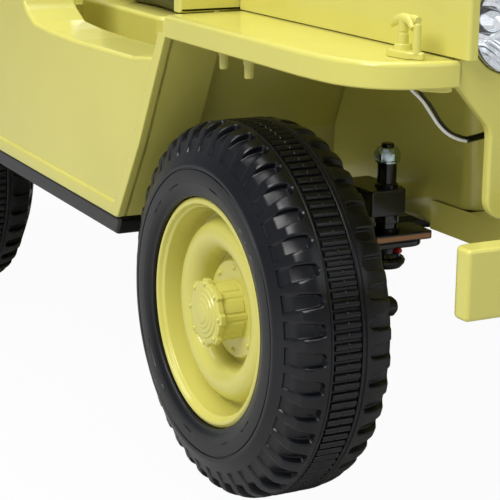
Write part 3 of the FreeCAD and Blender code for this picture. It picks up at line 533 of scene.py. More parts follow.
tyreSpec = {"lugs": 42, "ribs": 120, "ribHalf": 2.6, "ribReach": 11.7, "ribTop": 135,
            "band": [(11.8, 132.5), (12, 134.1), (12.2, 134.5), (12.55, 134.6), (12.75, 133.9), (13.05, 133.9),
                     (13.25, 134.9)],
            # lug: place across the tyre, radius, half the groove's width; then the groove floor's place and radius
            "tread": [(13.6, 134.9, 1.2, 13.6, 134.9), (14.1, 134.9, 1.5, 14.2, 134), (14.6, 134.9, 2.6, 14.9, 131.4),
                      (15.5, 134.85, 3.5, 15.7, 130.1), (17.2, 134.75, 4.1, 17.3, 129.7), (20, 134.4, 4.5, 20, 129.3),
                      (24.5, 133.5, 4.8, 24.5, 128.3), (29, 132.1, 5.1, 29.3, 126.9), (32.6, 130.4, 5.3, 33.6, 124.9),
                      (34.2, 129.3, 5.4, 35.6, 123.8), (34.7, 128.8, 5.45, 36.7, 122.9), (35, 128, 5.5, 37.4, 121.6),
                      (36.6, 124.4, 5.6, 38, 119.8), (38.7, 120.2, 5.7, 39.4, 116),
                      (40.2, 117.1, 5.8, 40.3, 114.2), (41.3, 114.9, 5.8, 41.2, 113.2), (41.7, 114.1, 5.8, 41.7, 114.1),
                      (43, 111.3, 5.9, 43, 111.3), (44.4, 108.3, 5.9, 44.4, 108.3), (45.2, 106.6, 5.9, 45.2, 106.6),
                      (45.5, 105.6, 5.8, 45.5, 105.6)],
            # places across the tread and where they go: its middle stands further out than the rim's
            "across": [(-46, -46), (-34.7, -34.7), (-13.9, -21), (-13.2, -18.6), (-11.7, -14.4), (0, -4.3), (11.7, 5.9),
                       (13.2, 10), (13.9, 12.4), (34.7, 32), (46, 46)],
            "wall": [(45.6, 104.2), (45.5, 103.2), (44.7, 102.8), (44.7, 102.2), (45.5, 101.8), (45.8, 98.4),
                     (45.8, 95), (45.7, 93.9), (45.7, 93.5), (45.7, 93), (45.7, 92.6), (45.6, 92.1), (45.3, 90.4),
                     (44.8, 88.4), (43.9, 86.5), (43, 85), (42.8, 83.3), (41.6, 82.6)],
            "arcRing": (92.8, 93.7), "arcShare": 0.985,
            "arcs": [(8, 15), (38, 41), (44, 47), (50, 62), (128, 131), (134, 137), (150, 157), (188, 195),
                     (218, 221), (224, 227), (230, 242), (308, 311), (314, 317), (330, 337)]}


def tyreSector(spec):
    # one lug's share of the whole section, with half a groove at each side of it
    half = [(y, r, 4, y, r) for y, r in spec["band"]] + spec["tread"] + [(y, r, 5, y, r) for y, r in spec["wall"]]
    rows = [(-y, r, w, -floor, low) for y, r, w, floor, low in reversed(half)] + half
    step = math.pi / spec["lugs"]
    rings = []
    for y, r, w, floor, low in rows:
        lean = r * step
        offsets = [(-lean, 0), (-min(w + 2.4, lean - 0.35), 0), (-w - 1.1, 0.015), (-w - 0.2, 0.17),
                   (-max(w - 0.4, 0.7 * w), 0.9), (-max(w - 1.1, 0.4 * w), 1)]
        offsets += [(0, 1)] + [(-u, share) for u, share in reversed(offsets)]
        ring = []
        for u, share in offsets:
            radius, angle = r + (low - r) * share, u / r + step
            ring.append((radius * math.sin(angle), y + (floor - y) * share, radius * math.cos(angle)))
        rings.append(ring)
    return skin(rings, closedAlong=True, closedRing=False)


def tyreRib(spec):
    # one round-backed cross rib of the centre band, nicked in its middle
    half, top, reach = spec["ribHalf"], spec["ribTop"], spec["ribReach"]
    bow = [(half * math.cos(a), top - 2.3 + 2.3 * math.sin(a)) for a in (math.pi * k / 8 for k in range(9))]
    rings = []
    for across, drop in ((-reach, 1.1), (-reach + 0.4, 0.3), (-reach + 1.2, 0), (-0.8, 0), (-0.4, 0.45), (0.4, 0.45),
                         (0.8, 0), (reach - 1.2, 0), (reach - 0.4, 0.3), (reach, 1.1)):
        rings.append([(half, across, top - 3)] + [(u, across, r - drop) for u, r in bow] + [(-half, across, top - 3)])
    return skin(rings)


def tyreMesh(spec):
    body = gathered(bmesh.new(), around(tyreSector(spec), spec["lugs"], tyreRubber))
    bmesh.ops.remove_doubles(body, verts=body.verts, dist=0.00004)
    bmesh.ops.recalc_face_normals(body, faces=body.faces)
    low, high = spec["arcRing"]
    for vertex in body.verts:  # short incised arcs on the side wall
        x, y, z = vertex.co
        angle = math.degrees(math.atan2(x, z)) % 360
        if low < math.hypot(x, z) / mm < high and any(start < angle < end for start, end in spec["arcs"]):
            vertex.co.y *= spec["arcShare"]
    gathered(body, around(tyreRib(spec), spec["ribs"], tyreRubber))
    for vertex in body.verts:
        place = vertex.co.y / mm
        for (a, newA), (b, newB) in zip(spec["across"], spec["across"][1:]):
            if a <= place < b:
                vertex.co.y = (newA + (newB - newA) * (place - a) / (b - a)) * mm
    return meshFrom(body, weld=0)


rimSpec = {"lip": 82, "lipPlace": -41.5, "dish": -16, "donut": 54, "donutHalf": 13, "donutFace": -32.5, "plate": 36,
           "plateFace": -18.6, "hubBolts": 8, "hubBoltRing": 30.6, "dishBolts": 3, "dishBoltRing": 70.4}


def rimMesh(spec):
    lip, place, dish = spec["lip"], spec["lipPlace"], spec["dish"]
    middle, half, rise = spec["donut"], spec["donutHalf"], spec["dish"] - spec["donutFace"]
    outer = [(place + 5, lip - 0.4), (place + 1.6, lip), (place, lip - 2.2, 2), (place, lip - 4.6, 1.4),
             (place + 3, lip - 5.8, 1.5), (place + 4.4, lip - 7.4, 1.5), (dish - 5, 73.4, 3), (dish, 71.5, 3),
             (dish, middle + half + 0.6, 1)]
    crest = [(dish - rise * math.sin(a) ** 0.85, middle + half * math.cos(a))
             for a in (math.pi * k / 14 for k in range(1, 14))]
    plate, plateFace = spec["plate"], spec["plateFace"]
    inner = [(dish + 3, middle - half - 0.4), (dish + 3, plate + 1.6, 1.2), (plateFace + 2, plate),
             (plateFace, plate - 1.2, 0.8), (plateFace, 24)]
    face = roundPath(outer, closed=False, steps=5) + crest + roundPath(inner, closed=False, steps=4)
    back = [(-place - 3, lip - 0.4), (-place, lip - 2.4), (-place, lip - 6), (12, 74), (dish + 4, 70), (dish + 4, 30),
            (18, 27), 18]
    return turned([plateFace] + list(reversed(face)) + back, sides=128)


def rimBolts(spec):
    # small domed bolts on the hub plate, and pairs of larger ones on the dish
    meshes = [around(dome(2.1, 1.7, "Y", (0, spec["plateFace"], spec["hubBoltRing"])), spec["hubBolts"], khaki)]
    for shift in (-5.5, 5.5):
        angle = math.radians(150 + shift)
        reach = spec["dishBoltRing"]
        bolt = dome(3, 2.8, "Y", (reach * math.sin(angle), spec["dish"], reach * math.cos(angle)), foot=4)
        meshes.append(around(bolt, spec["dishBolts"], khaki))
    return meshFrom(gathered(bmesh.new(), *meshes), weld=0)


capSpec = {"ears": 8, "radius": 21.4, "earRadius": 23.6, "foot": -18.4, "face": -42.3, "boss": -45.3,
           "boltRing": 21.2}


def capMesh(spec):
    # narrow ribs run under the eared face plate, with a pressed panel between each two
    ears, r = spec["ears"], spec["radius"]
    foot, face = spec["foot"], spec["face"]

    def ridge(angle, place):
        if place > foot - 0.3 or place < face + 0.2:
            return 1
        turn = abs((math.degrees(angle) + 180 / ears) % (360 / ears) - 180 / ears)
        if place < face + 4.9:
            return 1 + (spec["earRadius"] / r - 1) * max(0.0, min(1.0, (10.5 - turn) / 3))
        panel = 0.035 * max(0.0, min(1.0, (turn - 9.5) / 1.6)) if place < foot - 2 and place > face + 8 else 0
        return 1 + 0.03 * max(0.0, min(1.0, (6 - turn) / 1.6)) - 0.035 + panel

    side = [(foot, r), (foot - 1.4, r + 0.4), (foot - 1.9, r + 0.2), (foot - 3, r + 0.2), (face + 9, r - 0.3),
            (face + 7.4, r - 0.4), (face + 5, r - 0.4), (face + 4.8, r + 0.6), (face + 4.2, r + 1), (face + 1, r + 1),
            (face + 0.3, r)]
    rings = [(face, r - 1), (face, 18), (face - 0.9, 17.4), (face - 0.9, 14.6), (face - 1.7, 14), (face - 1.7, 11),
             (face - 2.3, 10.4), (face - 2.3, 7.4), (face - 2.8, 6.8), (spec["boss"], 4), spec["boss"]]
    return turned([foot] + side + rings, sides=192, flute=ridge)


def capBolts(spec):
    return around(dome(1.9, 1.6, "Y", (0, spec["face"] + 0.2, spec["boltRing"]), 10), spec["ears"], khaki)


def makeWheel(corner, body):
    turn = {"r": 0, "l": 180}.get(corner[-1], -90)  # the spare's outer face looks backwards
    spot = moved(middle(f"rim_{corner}")) @ Matrix.Rotation(math.radians(turn), 4, "Z")
    Piece(f"tyre_{corner}_tread").add(tyreMesh(tyreSpec), tyreRubber, spot).done(
        f"tyre_{corner}", body=body, slot="tyre", sharp=34)
    Piece(f"rim_{corner}_turned").add([rimMesh(rimSpec), rimBolts(rimSpec)], khaki, spot).done(
        f"rim_{corner}", body=body, sharp=50)
    Piece(f"hub_cap_{corner}_fluted").add([capMesh(capSpec), capBolts(capSpec)], khaki, spot).done(
        f"hub_cap_{corner}", body=body, sharp=30)


for corner, body in (("fr", "wheel_front_right"), ("fl", "wheel_front_left"), ("rr", "wheel_rear_right"),
                     ("rl", "wheel_rear_left"), ("spare", "body")):
    makeWheel(corner, body)
print("wheels made")


# wings: a hollow tray with a deep rounded rim

wingSpec = {"edge": 3.5, "wall": 3.5, "step": (485, -251.7),
            "curve": [(440, 322), (466, 320.2), (482, 316.8), (498, 309), (508, 299), (514.6, 286), (517.9, 271),
                      (518.9, 258)],
            "bosses": [(299, -300, 303.4), (336, -300, 302)], "bossTop": 334,
            "tab": [(503, -272), (514, -262), (516, -256), (508, -259)],
            "tabLayers": [(0, 333), (0, 317.4), (1, 316.6)]}


def wingMesh(spec):
    low, high = corners("fender_r")
    rim = [(x, -y) for x, y in smoothPath(spec["curve"], 5)]
    stepX, stepY = spec["step"]
    loop = [(low[0], high[1] - 0.4), (low[0], low[1])] + rim + [
        (high[0] - 0.1, stepY - 0.9), (high[0] - 1, stepY), (stepX, stepY), (stepX, high[1] - 0.4)]
    top, foot, wall = high[2], low[2], spec["wall"]
    layers = [(wall + 2, top - wall), (wall, top - wall - 2), (wall, foot + 1), (wall - 1, foot), (1, foot),
              (0, foot + 1)]
    layers += [(gap, top - drop) for gap, drop in arc(spec["edge"], 5)]
    return stack(loop, layers, "XY")


def bossMesh(spec, x, y, foot):
    return turned([foot, (foot, 2.8), (foot + 0.9, 3.3), (foot + 9, 3.5), (foot + 10, 4.2),
                   (spec["bossTop"], 4.6)], "Z", (x, y, 0), 20)


for letter, word, flip in sides:
    bosses = [bossMesh(wingSpec, *spot) for spot in wingSpec["bosses"]]
    tab = stack(wingSpec["tab"], wingSpec["tabLayers"], "XY")
    Piece("wing_" + word).add([wingMesh(wingSpec), *bosses, tab], khaki, flip).done("fender_" + letter)


# body sides: a slab, with a raised flange along its front, its foot and the rear arch

sideSpec = {"flange": 12, "rise": 2.4, "edge": 3.2, "arch": 152, "archX": -315, "archZ": 135,
            "front": [(249, 322, 8), (205, 235, 16), (165, 169, 6)],
            "top": [(-494.7, 200, 6), (-494.7, 410, 12), (-37, 410, 10), (-30, 312, 16), (-6, 299.6, 14),
                    (29, 297.4, 20), (80, 296.4, 20), (185, 298, 8), (226, 303, 4), (234, 305, 7), (238, 333, 4.4),
                    (248.8, 333)]}


def archPath(spec):
    start, end = math.asin((180 - spec["archZ"]) / spec["arch"]), math.asin((200 - spec["archZ"]) / spec["arch"])
    angles = [start + (math.pi - end - start) * step / 36 for step in range(37)]
    return [(spec["archX"] + spec["arch"] * math.cos(a), spec["archZ"] + spec["arch"] * math.sin(a)) for a in angles]


def footRow(spec, gap):
    # the front edge, foot and arch, moved into the panel by the gap
    front = [(x, z) for x, z, radius in spec["front"]]
    arch = archPath(spec)
    moved = inset(front + arch + [point[:2] for point in spec["top"]], -gap)
    turns = [(x, z, max(radius - gap, 0.8)) for (x, z), (_, _, radius) in zip(moved, spec["front"])]
    return roundPath([moved[-1]] + turns + moved[len(front):len(front) + len(arch)], 0, 5, closed=False)[1:]


def sideMeshes(spec):
    low, high = corners("body_side_r")
    outer, inner, lap = -low[1], -high[1], spec["flange"]
    panel = slab(footRow(spec, 0) + roundPath(spec["top"], 0, 5, closed=False), inner, outer - spec["rise"], "XZ",
                 spec["edge"], 4)
    profile = [(0, outer - 8), (0, outer - 1.6), (0.5, outer - 0.5), (1.6, outer), (lap - 2.2, outer),
               (lap - 0.7, outer - 0.6), (lap, outer - 1.8), (lap + 0.4, outer - 3)]
    columns = [[(x, z, height) for x, z in footRow(spec, gap)] for gap, height in profile]
    return panel, skin([list(ring) for ring in zip(*columns)], onPlane("XZ"))


for letter, word, flip in sides:
    Piece("side_" + word).add(sideMeshes(sideSpec), khaki, flip).done("body_side_" + letter)


# sills, cowl, tubs and panels

sillSpec = {"outline": [(165, 168.7), (-163, 179.7), (-163, 164.7), (157, 153.7)], "gap": 0.5, "edge": 3}


def sillMesh(spec):
    low, high = corners("sill_r")
    edge = spec["edge"]
    return slab(roundPath(spec["outline"], edge), -high[1] + spec["gap"], -low[1] - edge, "XZ", edge)


for letter, word, flip in sides:
    Piece("running_sill_" + word).add(sillMesh(sillSpec), blackPlastic, flip).done(
        "sill_" + letter, slot="black_plastic")

cowlSpec = {"outline": [(220, 336.8, 5), (247, 336.8, 1), (247, 432, 9), (200, 432, 7), (200, 357, 9)], "edge": 6,
            "half": 262, "plate": rectangle(-309, 336.8, 309, 424, 1, 1, 26, 26),
            "plateRear": 235, "plateFront": 246.8, "plateEdge": 2.5}


def cowlMeshes(spec):
    block = slab(roundPath(spec["outline"], 0, 5), -spec["half"], spec["half"], "XZ", spec["edge"], 4)
    plate = slab(roundPath(spec["plate"], 0, 8), spec["plateRear"], spec["plateFront"], "YZ", spec["plateEdge"], 4)
    return block, plate


Piece("cowl_block").add(cowlMeshes(cowlSpec), khaki).done("cowl")

# one closed block: its rear leans with the floor pan, and its front corners are round
tubSpec = {"levels": [(184, 199.3, 4), (184.6, 197.8, 2), (186.2, 196.6, 0.6), (188.5, 196.3, 0), (235, 196.3, 0),
                      (328.8, 238.2, 0), (336.8, 238.4, 0)], "front": 388, "side": 147, "corner": 14}


def tubMesh(spec):
    rings = []
    for z, rear, gap in spec["levels"]:
        front, side, corner = spec["front"] - gap, spec["side"] - gap, spec["corner"]
        loop = roundPath(rectangle(rear, -side, front, side, 2, corner, corner, 2), 0, 8)
        rings.append([(x, y, z) for x, y in loop])
    return skin(rings)


Piece("front_tub_moulding").add(tubMesh(tubSpec), khaki).done("front_tub")
Piece("rear_panel_pressing").add(brick(*corners("rear_panel"), 4, 5, "YZ"), khaki).done("rear_panel")
Piece("seat_pedestal_box").add(brick(*corners("seat_pedestal"), 4, 9), khaki).done("seat_pedestal")

hornSpec = {"plan": [(342, -150), (568.7, -150, 2), (568.7, -126, 2), (388.3, -126), (388.3, -147.3), (342, -147.3)],
            "low": 182, "high": 204, "edge": 0.9}
rearSpec = {"width": 70, "edge": 5, "corner": 9}
bumperSpec = {"rear": 15, "front": 3, "edge": 2.6}


def hornMesh(spec):
    return slab(roundPath(spec["plan"], 0.4, 3), spec["low"], spec["high"], "XY", spec["edge"], 3)


def rearBumperMesh(spec):
    low, high = corners("rear_bumpers")
    return brick(low, (high[0], low[1] + spec["width"], high[2]), spec["edge"], spec["corner"])


def bumperMesh(spec):
    low, high = corners("front_bumper")
    rear, front = spec["rear"], spec["front"]
    loop = roundPath(rectangle(*low[:2], *high[:2], rear, front, front, rear), 0, 8)
    return slab(loop, low[2], high[2], "XY", spec["edge"], 5)


Piece("frame_horn_pair").both(lambda: hornMesh(hornSpec), khaki).done("frame_horns")
Piece("rear_bumper_pair").both(lambda: rearBumperMesh(rearSpec), khaki).done("rear_bumpers")
Piece("front_bumper_bar").add(bumperMesh(bumperSpec), khaki).done("front_bumper")


# bonnet: a tapering shell with a rolled front edge

bonnetSpec = {"rear": (247.8, 261), "front": (528, 253), "wall": 4.4, "round": 22, "roll": 2.6}


def bonnetMesh(spec):
    low, high = corners("bonnet")
    (x0, y0), (x1, y1) = spec["rear"], spec["front"]

    def section(x, gap):
        half = y0 + (y1 - y0) * (x - x0) / (x1 - x0)

        def across(extra):
            inner, top, turn = half - gap - extra, high[2] - gap - extra, max(spec["round"] - gap - extra, 2)
            return [(inner, low[2] + 0.3), (inner, low[2] + 8)] + [
                (inner - inward, top - drop) for inward, drop in arc(turn, 8)]
        outer, inner = across(0), across(spec["wall"])
        outside = [(-y, z) for y, z in outer] + list(reversed(outer))
        inside = [(-y, z) for y, z in inner] + list(reversed(inner))
        return [(x, y, z) for y, z in outside + list(reversed(inside))]

    roll = spec["roll"]
    stations = [(x0, 1.2), (x0 + 0.5, 0.4), (x0 + 1.5, 0)] + [(x0 + (x1 - roll - x0) * k / 4, 0) for k in (1, 2, 3)]
    stations += [(x1 - drop, gap) for gap, drop in arc(roll, 5)]
    return skin([section(x, gap) for x, gap in stations])


Piece("bonnet_shell").add(bonnetMesh(bonnetSpec), khaki).done("bonnet", body="bonnet")


# grille panel, headlamps and latches

grilleSpec = {"slots": 8, "slot": 14, "slotLow": 325, "slotHigh": 405, "pitch": 37, "lampY": 212, "lampZ": 356,
              "lampRadius": 30.4, "rear": 508, "front": 516, "edge": 2,
              "right": [(-179, 273, 10), (-179, 232, 12), (-225, 232, 14), (-225, 291, 14), (-251, 320, 5),
                        (-251, 336.7, 2), (-247.6, 336.7, 1), (-247.6, 402, 20), (-226, 424.6, 8)]}


def grilleMesh(spec):
    rightHalf = roundPath(spec["right"], 0, 6, closed=False)
    outline = counterClockwise(rightHalf + [(-y, z) for y, z in reversed(rightHalf)])
    low, high, half = spec["slotLow"], spec["slotHigh"], spec["slot"] / 2
    loops = [outline]
    for step in range(spec["slots"]):
        y = (step - (spec["slots"] - 1) / 2) * spec["pitch"]
        loops.append(roundPath(rectangle(y - half, low, y + half, high), half * 0.9, 6))
    radius = spec["lampRadius"]
    for side in (left, right):
        loops.append([(side * spec["lampY"] + radius * math.cos(a), spec["lampZ"] + radius * math.sin(a))
                      for a in turnsOf(64)])
    return holed(loops, spec["rear"], spec["front"], "YZ", spec["edge"])


Piece("grille_pressing").add(grilleMesh(grilleSpec), khaki).done("grille_panel")

lampSpec = {"radius": 30, "depth": 30, "facets": 36, "bulb": 6}


def lampMeshes(spec, side):
    centre = (grilleSpec["front"], side * grilleSpec["lampY"], grilleSpec["lampZ"])
    radius, depth, bulb = spec["radius"], spec["depth"], spec["bulb"]

    def facet(angle, place):
        return 1 + 0.016 * math.cos(spec["facets"] * angle) if -depth < place < -2 else 1
    reflector = turned(
        [-depth, (-depth, 7), (-depth + 2, 13), (-depth * 0.62, 19.6), (-depth * 0.3, 24.8), (-3, 27.8),
         (-1, 28.2), (0, 28.5), (0.2, 29.6), (-0.6, radius), (-6, radius), (-depth * 0.5, 25.4), (-depth - 0.5, 14),
         -depth - 0.5], "X", centre, spec["facets"] * 4, facet)
    ring = turned([(-depth, 11), (-depth + 9, 11), (-depth + 10, 10), (-depth + 10, 8.4), (-depth + 9, 7.6),
                   (-depth, 7.6)], "X", centre, 48)
    tip = turned([-depth, (-depth, bulb), (-depth + 11, bulb), (-depth + 15, 4), -depth + 17],
                 "X", centre, 32)
    lens = turned([0.5, (0.5, 28), (0.4, 29.4), (1.4, radius), (3, 29.6), (4.3, 26), (5.3, 19), (5.8, 10),
                   5.9], "X", centre, 96)
    return (reflector, ring, tip), lens


bowls, lenses = Piece("headlamp_reflectors"), Piece("headlamp_glasses")
for side in (left, right):
    bright, clear = lampMeshes(lampSpec, side)
    bowls.add(bright, chrome)
    lenses.add(clear, lampGlass)
bowls.done("headlamp_bowls", slot="lamp_chrome", sharp=24)
lenses.done("headlamp_lenses", slot="lamp_lens")

latchSpec = {"x": 495, "y": -277, "floor": 337.3}


def latchMeshes(spec):
    x, y, z = spec["x"], spec["y"], spec["floor"]
    hull = roundPath([(x - 17, y - 4, 3), (x - 8, y - 8, 8), (x + 8, y - 5, 8), (x + 18, y + 4, 3), (x + 10, y + 5, 8),
                      (x - 10, y + 4, 8)], 0, 5)
    base = stack(hull, [(0, z), (0, z + 3)] + [(gap, z + 4.5 - drop) for gap, drop in arc(1.5, 3)], "XY")
    socket = turned([(z + 3, 6), (z + 7.4, 5.5), (z + 8.2, 4.8), z + 8.2], "Z", (x - 3, y, 0), 28)
    post = turned([(z + 7, 3.5), (z + 14, 3.4), (z + 14.4, 3), (z + 15.4, 3), (z + 15.8, 3.4), (z + 24, 3.2),
                   z + 24], "Z", (x - 3, y, 0), 20)
    wing = pipe([(x - 15, y - 1, z + 18), (x - 10, y - 0.5, z + 21.5), (x - 3, y, z + 23.6), (x + 4, y, z + 22.5),
                 (x + 9, y - 1, z + 18.5)], lambda t: 1.8 + 1.5 * math.sin(math.pi * t), 12)
    arm = pipe([(x - 3, y, z + 23), (x + 6, y + 1.5, z + 24), (x + 11, y + 1.5, z + 23.5)],
               lambda t: 2.8 - 0.4 * t, 12)
    stub = turned([(z + 3, 2.8), (z + 20, 2.5), (z + 21.6, 1.8), z + 22], "Z", (x + 11, y + 1, 0), 18)
    return base, socket, post, wing, arm, stub


Piece("bonnet_latch_pair").both(lambda: latchMeshes(latchSpec), khaki).done("bonnet_latches")
print("body made")


# cabin

screenSpec = {"bottom": 440, "bar": 22, "corner": 26, "inner": 12, "edge": 3,
              "foot": ((225, -236, 431.8), (239, -214, 446))}


def screenMesh(spec):
    low, high = corners("windscreen_frame")
    y, bottom, top = high[1], spec["bottom"], high[2]
    bar, corner = spec["bar"], spec["corner"]
    loops = [roundPath(rectangle(-y, bottom, y, top, 5, 5, corner, corner), 5, 8),
             roundPath(rectangle(-y + bar, bottom + bar, y - bar, top - bar), spec["inner"], 8)]
    return holed(loops, low[0], high[0], "YZ", spec["edge"])


Piece("windscreen_surround").add(screenMesh(screenSpec), khaki).both(
    lambda: brick(*screenSpec["foot"], 2, 3), khaki).done("windscreen_frame")

steerSpec = {"base": (199.7, 118, 398), "tilt": 55, "ring": 82, "tube": 8, "centre": 86.3, "grips": 18,
             "spoke": [(14, 9, 2.4), (34, 6.2, 1.5), (58, 5.6, 1.8), (80, 7, 3)]}


def steerMeshes(spec):
    ring, tube, centre = spec["ring"], spec["tube"], spec["centre"]
    rings = []
    for angle in turnsOf(96):
        swell = tube * (0.93 + 0.05 * math.cos(spec["grips"] * angle))
        rings.append([((ring + swell * math.cos(b)) * math.cos(angle), (ring + swell * math.cos(b)) * math.sin(angle),
                       centre + swell * math.sin(b)) for b in turnsOf(16)])
    made = [skin(rings, closedAlong=True)]
    made.append(turned([centre - 8, (centre - 8, 20), (centre - 6, 23), (centre + 4, 24), (centre + 7, 21.5),
                        (centre + 7.6, 17), (centre + 6.4, 16), centre + 6.4], "Z", (0, 0, 0), 48))
    for angle in (90, 180, 270):
        spoke = []
        for u, w, h in spec["spoke"]:
            z = centre - 4 + h
            spoke.append([(u, -w, z), (u, -w + 2, z + 5), (u, w - 2, z + 5), (u, w, z), (u, w - 2, z - 1.5),
                          (u, -w + 2, z - 1.5)])
        made.append(skin(spoke, Matrix.Rotation(math.radians(angle), 4, "Z")))
    return made


steerPlace = moved(steerSpec["base"]) @ Matrix.Rotation(-math.radians(steerSpec["tilt"]), 4, "Y")
Piece("steering_wheel_grip").add(steerMeshes(steerSpec), blackPlastic, steerPlace).done(
    "steering_wheel", body="steering", slot="black_plastic")


# front axle ends: block, kingpin, plate with a raw front edge, and what hangs below it

axleSpec = {"spot": (325, -178), "pin": 4.8, "sleeve": 7.2, "nut": 9.9, "nutLow": 232.6, "nutHigh": 240.6,
            "under": 11.4, "underLow": 163.4, "underHigh": 173.8,
            "bar": ((288, -172, 194), (300, 172, 205)), "block": ((288, -200, 194), (340, -170))}


def hexNut(low, high, size, spot, turn=-0.57):
    # a hexagon nut with turned corners on both faces
    rings = []
    for z, gap in ((low, 1.4), (low + 1.2, 0), (high - 1.8, 0), (high, 1.7)):
        ring = []
        for angle in turnsOf(48):
            flat = size * math.cos(math.pi / 6) / math.cos((angle - turn + math.pi / 6) % (math.pi / 3) - math.pi / 6)
            reach = min(flat, size - gap)
            ring.append((spot[0] + reach * math.cos(angle), spot[1] + reach * math.sin(angle), z))
        rings.append(ring)
    return skin(rings)


def kingpinMeshes(spec):
    spot, top = spec["spot"], corners("front_beam")[1][2]
    centre, pin, sleeve = (*spot, 0), spec["pin"], spec["sleeve"]
    nut = hexNut(spec["nutLow"], spec["nutHigh"], spec["nut"], spot)
    washer = turned([231.6, (231.6, 9.4), (232.8, 9.4), 232.8], "Z", centre, 40)
    collar = turned([240, (240, 8.4), (242, 7.9), (242.8, 6.4), 242.8], "Z", centre, 40)
    stub = turned([242, (242, pin), (244.8, pin), (245.6, pin - 1.2), 245.6], "Z", centre, 28)
    tube = turned([top - 1, (top - 1, 8.6), (top + 1.6, 8.6), (top + 2.6, sleeve), (231.8, sleeve),
                   231.8], "Z", centre, 40)
    bush = turned([180.2, (180.2, 10.6), (182.4, 10.8), (183, 8.4), (186.4, 8.4), (187, 9.6), (194.5, 9.6),
                   194.5], "Z", centre, 36)
    return (nut, washer, collar), (stub, tube, bush, hexNut(spec["underLow"], spec["underHigh"], spec["under"], spot))


def beamBlock(spec):
    low, (x, y) = spec["block"]
    return brick(low, (x, y, corners("front_beam")[1][2]), 1.4, 2)


for letter, word, flip in sides:
    bright, dark = kingpinMeshes(axleSpec)
    Piece("kingpin_set_" + letter).add(bright, zinc, flip).add(dark, blackGloss, flip).done(
        "kingpin_" + letter, body="knuckle_" + word, slot="black_steel", sharp=30)
Piece("front_axle_beam").add(brick(*axleSpec["bar"], 1, 1), blackSteel).both(
    lambda: beamBlock(axleSpec), blackSteel).done("front_beam", slot="black_steel")

plateSpec = {"plan": [(341, -146, 3), (341, -217), (309, -217), (309, -186, 4), (257, -186, 8), (257, -170, 8),
                      (309, -170, 4), (309, -146, 3)], "low": 174, "high": 180,
             "under": [(340, -150, 14), (340, -216), (312, -216), (312, -150, 8)], "red": (340.5, -175, 167.6),
             "rawEdge": ((340.4, -216.5, 175), (341.2, -148.2, 178.6))}


def knuckleMeshes(spec):
    plate = slab(roundPath(spec["plan"], 0, 6), spec["low"], spec["high"], "XY", 0.7, 2)
    flange = brick((299, -225, 109), (351, -217, 180), 1.4, 6, "XZ")
    web = skin([[(x, -217, 174.4), (x, -217, 150), (x, -190, 174.4)] for x in (302, 308)])
    stub = turned([-303, (-303, 5.4), (-302, 6), (-224, 6), -224], "Y", (325, 0, 135), 24)
    lower = slab(roundPath(spec["under"], 0, 8), 168.8, 174.2, "XY", 1.6, 4)
    cup = turned([153, (153, 12.4), (156, 15), (158.6, 15.6), (160.4, 14.4), (161, 11.6), (163.8, 11),
                  163.8], "Z", (325, -178, 0), 40)
    eye = turned([180, (180, 5.4), (182.6, 5.2), (183.4, 4), 183.4], "Z", (265, -178, 0), 24)
    return plate, lower, cup, flange, web, stub, eye


def motorMesh(centre, outer, radius, knob):
    # a round motor housing with a stepped cover and a round knob on its inner face; outer is its |Y|
    profile = [(0, radius - 1.5), (1.5, radius), (22, radius), (24.5, radius - 2.5), (25, radius - 6),
               (29, radius - 7), (30, radius - 9)]
    if knob:
        profile += [(30, knob + 1.6), (31.6, knob), (46, knob), (49, knob - 2.2), (50, knob - 5)]
    return turned([-outer] + [(place - outer, r) for place, r in profile] + [profile[-1][0] - outer], "Y", centre, 48)


for node, body, knob, flips in (("gearbox_fr", "knuckle_right", 7.6, (None,)),
                                ("gearbox_fl", "knuckle_left", 7.6, (mirrorY,)),
                                ("gearboxes_rear", "body", 0, (None, mirrorY))):
    low, high = corners(node)
    centre, outer = ((low[0] + high[0]) / 2, 0, (low[2] + high[2]) / 2), max(abs(low[1]), abs(high[1]))
    motor = Piece(node + "_housing")
    for flip in flips:
        motor.add(motorMesh(centre, outer, (high[2] - low[2]) / 2, knob), blackGloss, flip)
    motor.done(node, body=body, slot="black_plastic")

for letter, word, flip in sides:
    knuckle = Piece("knuckle_plate_" + letter).add(knuckleMeshes(plateSpec), blackGloss, flip)
    knuckle.add(brick(*plateSpec["rawEdge"], 0.3, 0.3), rawSteel, flip)
    knuckle.add(dome(2.2, 2, "X", plateSpec["red"], 16, 1, 18), redWire, flip)
    knuckle.done("knuckle_" + letter, body="knuckle_" + word, slot="black_steel")

leadSpec = {"white": [(-276, 324), (-272.7, 317.3), (-264.2, 309.5), (-257, 300.4), (-251.5, 293.4), (-244.4, 287.1),
                      (-236.5, 283), (-229, 280.8)],
            "black": [(-268, 322), (-265.1, 314.6), (-256.5, 305.2), (-249.3, 295.2), (-241.3, 287.6), (-233.5, 284.1),
                      (-228.1, 282.7)],
            "sleeve": [(-228.8, 281.8), (-222.7, 282.6), (-215.8, 283.7), (-206, 286)], "plane": 495,
            "wire": 1.05, "cover": 2.2}
leads = Piece("lamp_leads")
for word, thick, lift, material in (("white", "wire", 1, whiteWire), ("black", "wire", 0, blackGloss),
                                    ("sleeve", "cover", 1, blackGloss)):
    leads.both(lambda: pipe([(leadSpec["plane"] + lift, y, z) for y, z in leadSpec[word]], leadSpec[thick]), material)
leads.done(slot="black_plastic")

tailSpec = {"radius": 22.2, "profile": [0, (0, 22), (-6, 21.6), (-8, 20), (-8.4, 18), (-9, 17.4), (-9.4, 12),
                                        (-10, 11.6), (-10.6, 6), (-11.6, 5), -11.8]}


def tailMesh(spec):
    low, high = corners("tail_lamps")
    return turned(spec["profile"], "X", (high[0], low[1] + spec["radius"], (low[2] + high[2]) / 2), 64)


Piece("tail_lamp_pair").both(lambda: tailMesh(tailSpec), redLens).done("tail_lamps", slot="red_lens")


# seats: swollen pads with sewn channels

